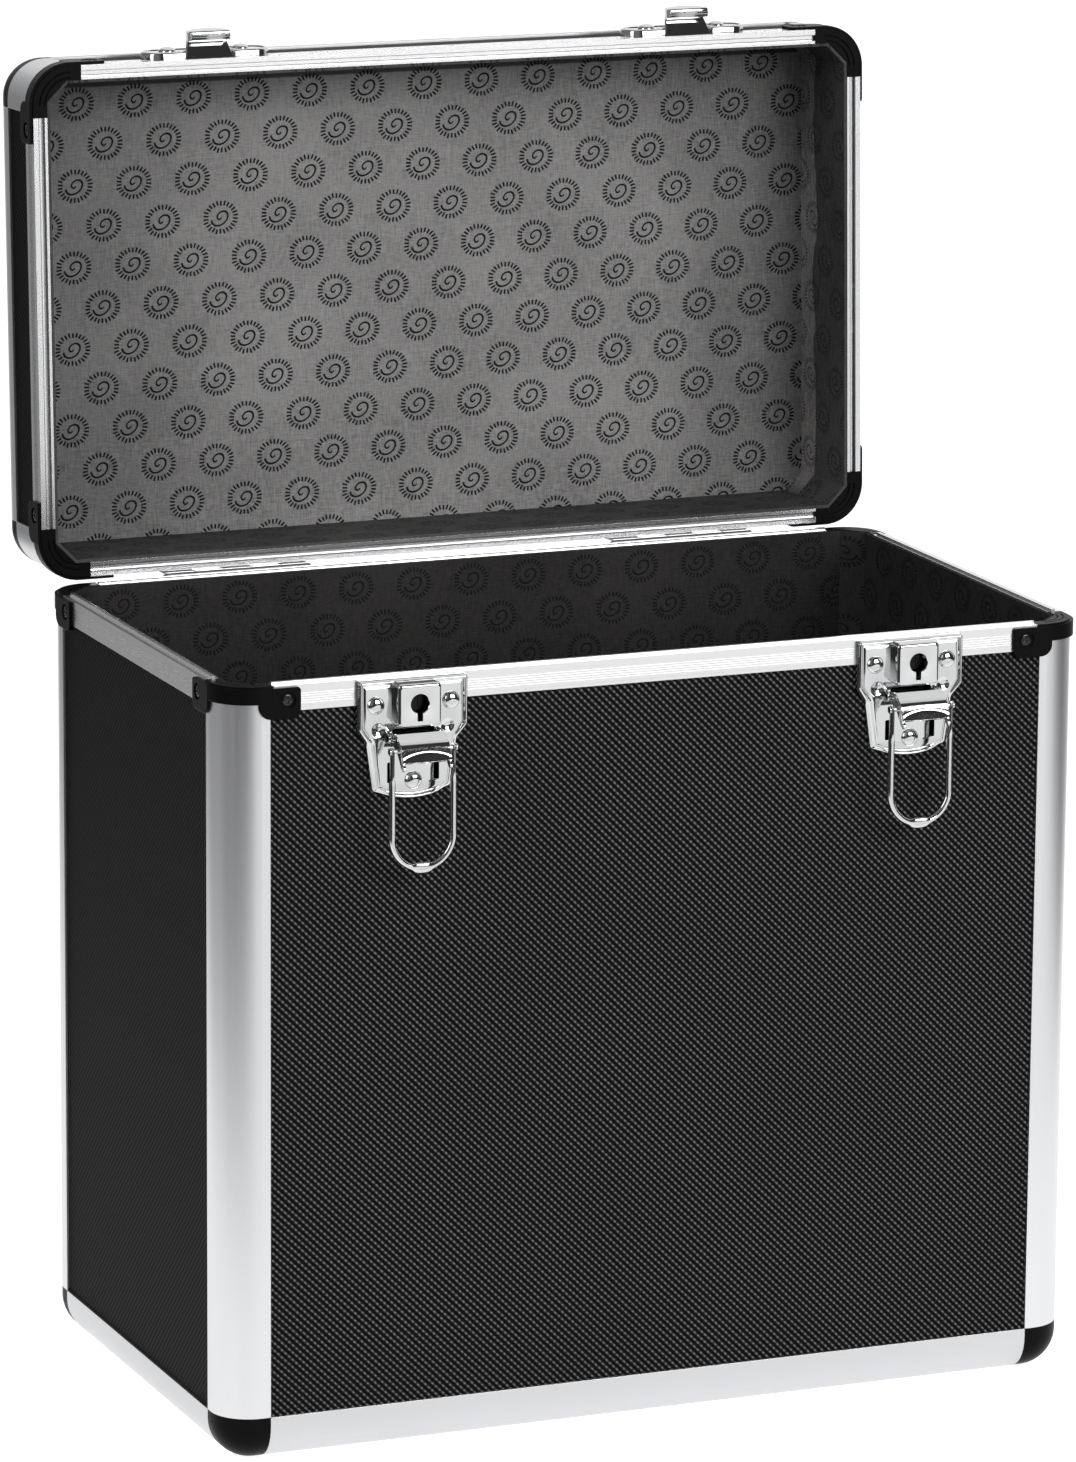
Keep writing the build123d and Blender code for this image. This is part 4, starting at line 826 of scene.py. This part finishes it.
# %% [markdown]
# ## Bails
# The bail is one bent wire. Its path goes down one leg, round a half circle and up the other. Its section
# is round, but pressed flat at the eyes and at the middle of the bend, so the two half-widths of the
# section change along the path while the wire keeps about the same amount of metal.

# %% Bails
WIRE, EYE_WIDE, EYE_DEEP, BAIL_OUT = 1.25, 0.65, 1.9, 12.2


def latch_bail():
    """A section is (wide cos a, deep sin a) about the path. wide goes from WIRE to EYE_WIDE and deep from
    WIRE to EYE_DEEP at the eyes, each by a soft step; the pad in the bend is wider and thinner."""
    half, top, long, count = 12.1, -25.5, 44.9, 34
    knee = top - long + half
    leg = np.linspace(top + 1.2, knee, count)
    bend = np.linspace(math.pi, math.tau, 41)[1:-1]
    path = np.concatenate([np.column_stack([np.full(count, -half), leg]),
                           np.column_stack([half * np.cos(bend), knee + half * np.sin(bend)]),
                           np.column_stack([np.full(count, half), leg[::-1]])])
    ahead = np.gradient(path, axis=0)
    ahead /= np.linalg.norm(ahead, axis=1, keepdims=True)
    side = np.column_stack([ahead[:, 1], -ahead[:, 0]])
    from_eye = top + EYE_DEEP - path[:, 1]
    flat = 1 - np.clip((from_eye - 11.6) / 2.2, 0, 1)
    flat = flat * flat * (3 - 2 * flat)
    pad = np.clip(1 - np.abs(path[:, 0]) / 4.2, 0, 1) * (path[:, 1] < knee)
    pad = np.minimum(pad * 2.2, 1.0)
    pad = pad * pad * (3 - 2 * pad)
    end = np.sqrt(np.clip(1 - np.clip(EYE_DEEP - from_eye, 0, EYE_DEEP) ** 2 / EYE_DEEP ** 2, 0.02, 1))
    wide = WIRE + flat * (EYE_WIDE - WIRE) + pad * 0.75
    deep = (WIRE + flat * (EYE_DEEP - WIRE) - pad * 0.45) * end
    angle = np.linspace(0, math.tau, 20, endpoint=False)
    across = wide[:, None] * np.cos(angle)
    out = deep[:, None] * np.sin(angle)
    rows = np.stack([path[:, None, 0] + side[:, None, 0] * across,
                     path[:, None, 1] + side[:, None, 1] * across, BAIL_OUT + out], -1)
    return Shell().grid(rows, cap_first=True, cap_last=True)


for side, shift in LATCHES:
    make("bail_wire_" + side, latch_bail().put(on_front(shift)), "bail_" + side, wire_chrome,
         ["latch_bail_" + side])

# %% [markdown]
# ## Lid catches
# A catch is a pan with round ends and a nose in the middle. The bail's bend goes over the nose, so the
# nose's top follows an arc a little smaller than the bend. A slope leads up from the pan to the groove
# under the nose's lip.

# %% Lid catches
PAN = [(26.0, 17.0), (-26.0, 17.0), (-26.0, 2.0), (-10.2, 2.0), (-9.6, 7.4), (9.6, 7.4), (10.2, 2.0),
       (26.0, 2.0)]
PAN_ROUND = [7.0, 7.0, 7.0, 0.5, 0.5, 0.5, 0.5, 7.0]
PRESS = [(0.0, -1.1), (0.0, 2.0), (0.12, 2.5), (0.45, 2.85), (0.85, 3.0), (1.2, 2.9), (1.7, 2.2),
         (2.2, 2.2), (2.6, 2.6)]
NOSE = [(-1.1, 0.0, 2.0, 2.4), (6.1, 0.0, 6.6, 0.2), (6.5, 0.0, 6.6, 0.0), (7.0, 0.0, 2.4, 0.0),
        (7.3, 0.0, 2.0, 0.0), (8.1, 0.0, 2.0, 0.0), (8.4, 0.0, 1.75, 0.0), (9.0, 0.0, 1.75, 0.0),
        (9.3, 0.0, 2.0, 0.0), (9.8, 0.0, 2.0, 0.0), (10.3, 0.12, 2.0, 0.0), (10.65, 0.4, 2.0, 0.0),
        (10.8, 0.8, 2.0, 0.0), (10.8, 1.4, 2.0, 0.0), (10.55, 2.0, 2.0, 0.0)]
NOSE_BEND, NOSE_HALF, NOSE_CENTRE = 9.9, 8.3, 2.3


def catch():
    """PRESS is (inset, height) of the pan's rows. Each row of the nose is (height, inset, edge next to the
    rim, flare of that edge), and its far edge is the arc centre + bend * (cos t, sin t)."""
    shell = Shell()
    rows = rings(PAN, PAN_ROUND, PRESS, 10)
    shell.grid(rows, cap_first=True).flat(rows[-1, :, :2], [], PRESS[-1][1])
    reach = math.acos(NOSE_HALF / NOSE_BEND)
    arc = [(NOSE_BEND * math.cos(t), NOSE_CENTRE + NOSE_BEND * math.sin(t))
           for t in np.linspace(reach, math.pi - reach, 21)]
    round_off = [0.6, *[0.0] * len(arc), 0.6]
    rows = []
    for height, inset, edge, flare in NOSE:
        outline = [(NOSE_HALF + flare, edge), *arc, (-NOSE_HALF - flare, edge)]
        rows.append(level(corner_points(outline, round_off, inset, 5), height))
    rows = np.stack(rows)
    return shell.grid(rows).flat(rows[-1, :, :2], [], NOSE[-1][0])


for side, shift in LATCHES:
    make("catch_" + side, catch().put(on_lid_front(shift)), "lid", bright_chrome,
         ["lid_catch_" + side])

# %% [markdown]
# ## Rivets
# A rivet's head is a low dome with a short upright edge where it meets the plate.

# %% Rivets
RIVET_R, RIVET_HIGH, UPSTAND = 3.4, 1.75, 0.12


def dome(x, y, face):
    """Above the short upright edge the profile is (R cos a, upstand + (high - upstand) sin a)."""
    rise = np.linspace(0.0, math.pi / 2 * 0.94, 8)
    profile = [(1.5, face - 1.5), (RIVET_R, face - 0.05), (RIVET_R, face + 0.1),
               *zip(RIVET_R * np.cos(rise), face + UPSTAND + (RIVET_HIGH - UPSTAND) * np.sin(rise))]
    return lathe(profile, x, y, 28)


def domes(spots, face):
    shell = Shell()
    for x, y in spots:
        shell.grid(dome(x, y, face), cap_first=True, cap_last=True)
    return shell


latch_spots = [(-14.9, -10.0), (14.9, -10.0), (0.0, -39.2)]
leaf_x, leaf_y, hinge_x = (-22.0, 0.0, 22.0), 16.5, 95
pan_sheet, leaf_sheet = PRESS[-1][1], 1.2
body_rivets = domes(latch_spots, FIELD).put(on_front(-LATCH_X), on_front(LATCH_X))
body_leaves = domes([(x, -leaf_y) for x in leaf_x], leaf_sheet)
body_rivets.join(body_leaves.put(on_rear(-hinge_x), on_rear(hinge_x)))
catch_pans = domes([(-15.1, 10.5), (15.1, 10.5)], pan_sheet)
lid_rivets = catch_pans.put(on_lid_front(-LATCH_X), on_lid_front(LATCH_X))
lid_leaves = domes([(x, leaf_y) for x in leaf_x], leaf_sheet)
lid_rivets.join(lid_leaves.put(on_lid_rear(-hinge_x), on_lid_rear(hinge_x)))
bracket_x, bracket_top = 58, 2.6
brackets = domes([(-12.5, 0.0), (12.5, 0.0)], bracket_top)
lid_rivets.join(brackets.put(on_lid_top(-bracket_x), on_lid_top(bracket_x)))
make("rivets_body", body_rivets, "case_body", rivet_chrome, ["body_rivets"])
make("rivets_lid", lid_rivets, "lid", rivet_chrome, ["lid_rivets"])

# %% [markdown]
# ## Screws
# The corner screws are sunk in dished seats and have a cross pressed into their heads: on a grid of rings
# and angles, a point sinks where it lies inside either bar of the cross. Each face of the case carries two,
# and the lid's are the same ones mirrored in the rim.

# %% Screws
HEAD_R, BAR_LONG, BAR_WIDE = 2.1, 1.35, 0.32
SCREW_IN, SCREW_DOWN = 24.8, 5.4


def cross_screw():
    """Head height by ring and angle: a flat dish that falls away at the rim, less the cross."""
    r = np.concatenate([[HEAD_R, HEAD_R], np.linspace(2.05, 0.12, 13)])
    angle = np.linspace(0, math.tau, 56, endpoint=False) + 0.35
    dish = 0.62 - 0.22 * (r / HEAD_R) ** 4
    dish[0] = -0.2
    x, y = r[:, None] * np.cos(angle), r[:, None] * np.sin(angle)
    level_bar = np.maximum(np.abs(x) / BAR_LONG, np.abs(y) / BAR_WIDE)
    upright_bar = np.maximum(np.abs(y) / BAR_LONG, np.abs(x) / BAR_WIDE)
    bar = np.minimum(level_bar, upright_bar)
    sunk = np.clip((1.15 - bar) / 0.3, 0, 1) * (r[:, None] < 1.6) * 0.45
    return Shell().grid(np.stack([x, y, 0.5 + dish[:, None] - sunk], -1), cap_first=True, cap_last=True)


def moved(shell, x, y):
    return Shell().join(shell.put(lambda p: p + np.array([x, y, 0.0])))


body_screws, lid_screws = Shell(), Shell()
for face, half in ((on_front(), HALF_W), (on_rear(), HALF_W), (on_side(-1), HALF_D), (on_side(1), HALF_D)):
    reach = half / MM - SCREW_IN
    for x in (-reach, reach):
        screw = moved(cross_screw(), x, -SCREW_DOWN)
        body_screws.join(screw.put(face))
        lid_screws.join(screw.put(of_lid(face)))
make("screws_body", body_screws, "case_body", screw_steel, ["body_rim_screws"])
make("screws_lid", lid_screws, "lid", screw_steel, ["lid_rim_screws"])

# %% [markdown]
# The setting is a studio table: a white floor and backdrop, and a darker room on the camera's side, with
# two soft boxes in it. Bright metal needs that darker side, because chrome has no look of its own: it shows
# the white table and the dark room as light and dark bands. The white is put on by what camera, mirror and
# glass rays see, and the other rays see a plain grey surround, so the floor keeps its shadow.

# %% Floor, surround and light
def seen_directly(tree):
    """1 for the rays that look at the setting: camera, mirror and glass rays."""
    path = tree.nodes.new("ShaderNodeLightPath")
    total = path.outputs["Is Camera Ray"]
    for kind in ("Is Glossy Ray", "Is Transmission Ray"):
        most = tree.nodes.new("ShaderNodeMath")
        most.operation = "MAXIMUM"
        tree.links.new(total, most.inputs[0])
        tree.links.new(path.outputs[kind], most.inputs[1])
        total = most.outputs[0]
    return total


LANE = (0.925, 0.38)


def white_floor():
    """White near the case, behind it and along a lane to its front; it falls away to grey elsewhere. The
    lane has a mirror image behind the case, so the distance from both is |0.925 x - 0.38 |y||."""
    s = Shader("floor_white")
    seen = Socket(s, seen_directly(s.tree))
    x, y = s.along((1.0, 0.0, 0.0)), s.along((0.0, 1.0, 0.0))
    beside = (x * LANE[0] - y.maths("ABSOLUTE") * LANE[1]).maths("ABSOLUTE")
    near = (x * x + y * y) ** 0.5
    behind = y.smooth(0.5, 1.3) * x.smooth(-0.5, -0.05)
    lit = (1 - beside.smooth(0.5, 0.95)).maths("MAXIMUM", behind).maths("MAXIMUM", 1 - near.smooth(0.5, 0.9))
    tone = lit + (1 - lit) * (y.smooth(-0.2, 0.3) * 0.2 + 0.04)
    camera = s.node("ShaderNodeLightPath", output="Is Camera Ray")
    tone = tone + (1 - tone) * camera * 0.7
    glow = seen * tone * (y.smooth(-0.7, -0.2) * 0.36 + 0.54)
    s.set(Base_Color=s.mix(tone, (0.0, 0.0, 0.0), (0.45, 0.45, 0.45)), Roughness=0.9,
          Specular_IOR_Level=0.0, Emission_Color=(1.0, 1.0, 1.0), Emission_Strength=glow)
    return s.material


FLOOR = 9.0
corners = [(-FLOOR, -FLOOR, 0), (FLOOR, -FLOOR, 0), (FLOOR, FLOOR, 0), (-FLOOR, FLOOR, 0)]
floor_mesh = bpy.data.meshes.new("floor")
floor_mesh.from_pydata(corners, [], [(0, 1, 2, 3)])
floor = bpy.data.objects.new("floor", floor_mesh)
bpy.context.scene.collection.objects.link(floor)
floor_mesh.materials.append(white_floor())
OTHER_RAYS = 0.55


def soft_step(tree, source, low, high, least, most=1.0):
    """A node that takes the source from least, where it is below low, softly to most, above high."""
    step = tree.nodes.new("ShaderNodeMapRange")
    step.interpolation_type = "SMOOTHSTEP"
    tree.links.new(source, step.inputs["Value"])
    for socket, value in (("From Min", low), ("From Max", high), ("To Min", least), ("To Max", most)):
        step.inputs[socket].default_value = value
    return step


world = bpy.data.worlds.new("surround")
bpy.context.scene.world = world
world.use_nodes = True
tree = world.node_tree
background = tree.nodes["Background"]
place = tree.nodes.new("ShaderNodeTexCoord")
apart = tree.nodes.new("ShaderNodeSeparateXYZ")
tree.links.new(place.outputs["Generated"], apart.inputs[0])
room = soft_step(tree, apart.outputs["Y"], -0.35, 0.05, 0.04)
wall = soft_step(tree, apart.outputs["X"], -0.5, 0.05, 0.2)
tree.links.new(room.outputs[0], wall.inputs["To Max"])
strength = tree.nodes.new("ShaderNodeMix")
tree.links.new(seen_directly(tree), strength.inputs[0])
strength.inputs[2].default_value = OTHER_RAYS
tree.links.new(wall.outputs[0], strength.inputs[3])
tree.links.new(strength.outputs[0], background.inputs["Strength"])
background.inputs["Color"].default_value = (1, 1, 1, 1)


AIM = Vector((0, 0, 0.25))


def softbox(name, place, size, power):
    """A soft rectangle of light that looks at the middle of the case."""
    data = bpy.data.lights.new(name, "AREA")
    data.shape = "RECTANGLE"
    data.size, data.size_y = size
    data.energy = power
    light = bpy.data.objects.new(name, data)
    light.rotation_mode = "QUATERNION"
    light.rotation_quaternion = (Vector(place) - AIM).to_track_quat("Z", "Y")
    light.location = place
    bpy.context.scene.collection.objects.link(light)


softbox("key", (0.9, -2.3, 1.25), (1.3, 1.3), 34)
softbox("fill", (-2.3, -0.9, 1.3), (0.9, 1.6), 14)

bpy.context.scene.view_settings.view_transform = "Standard"
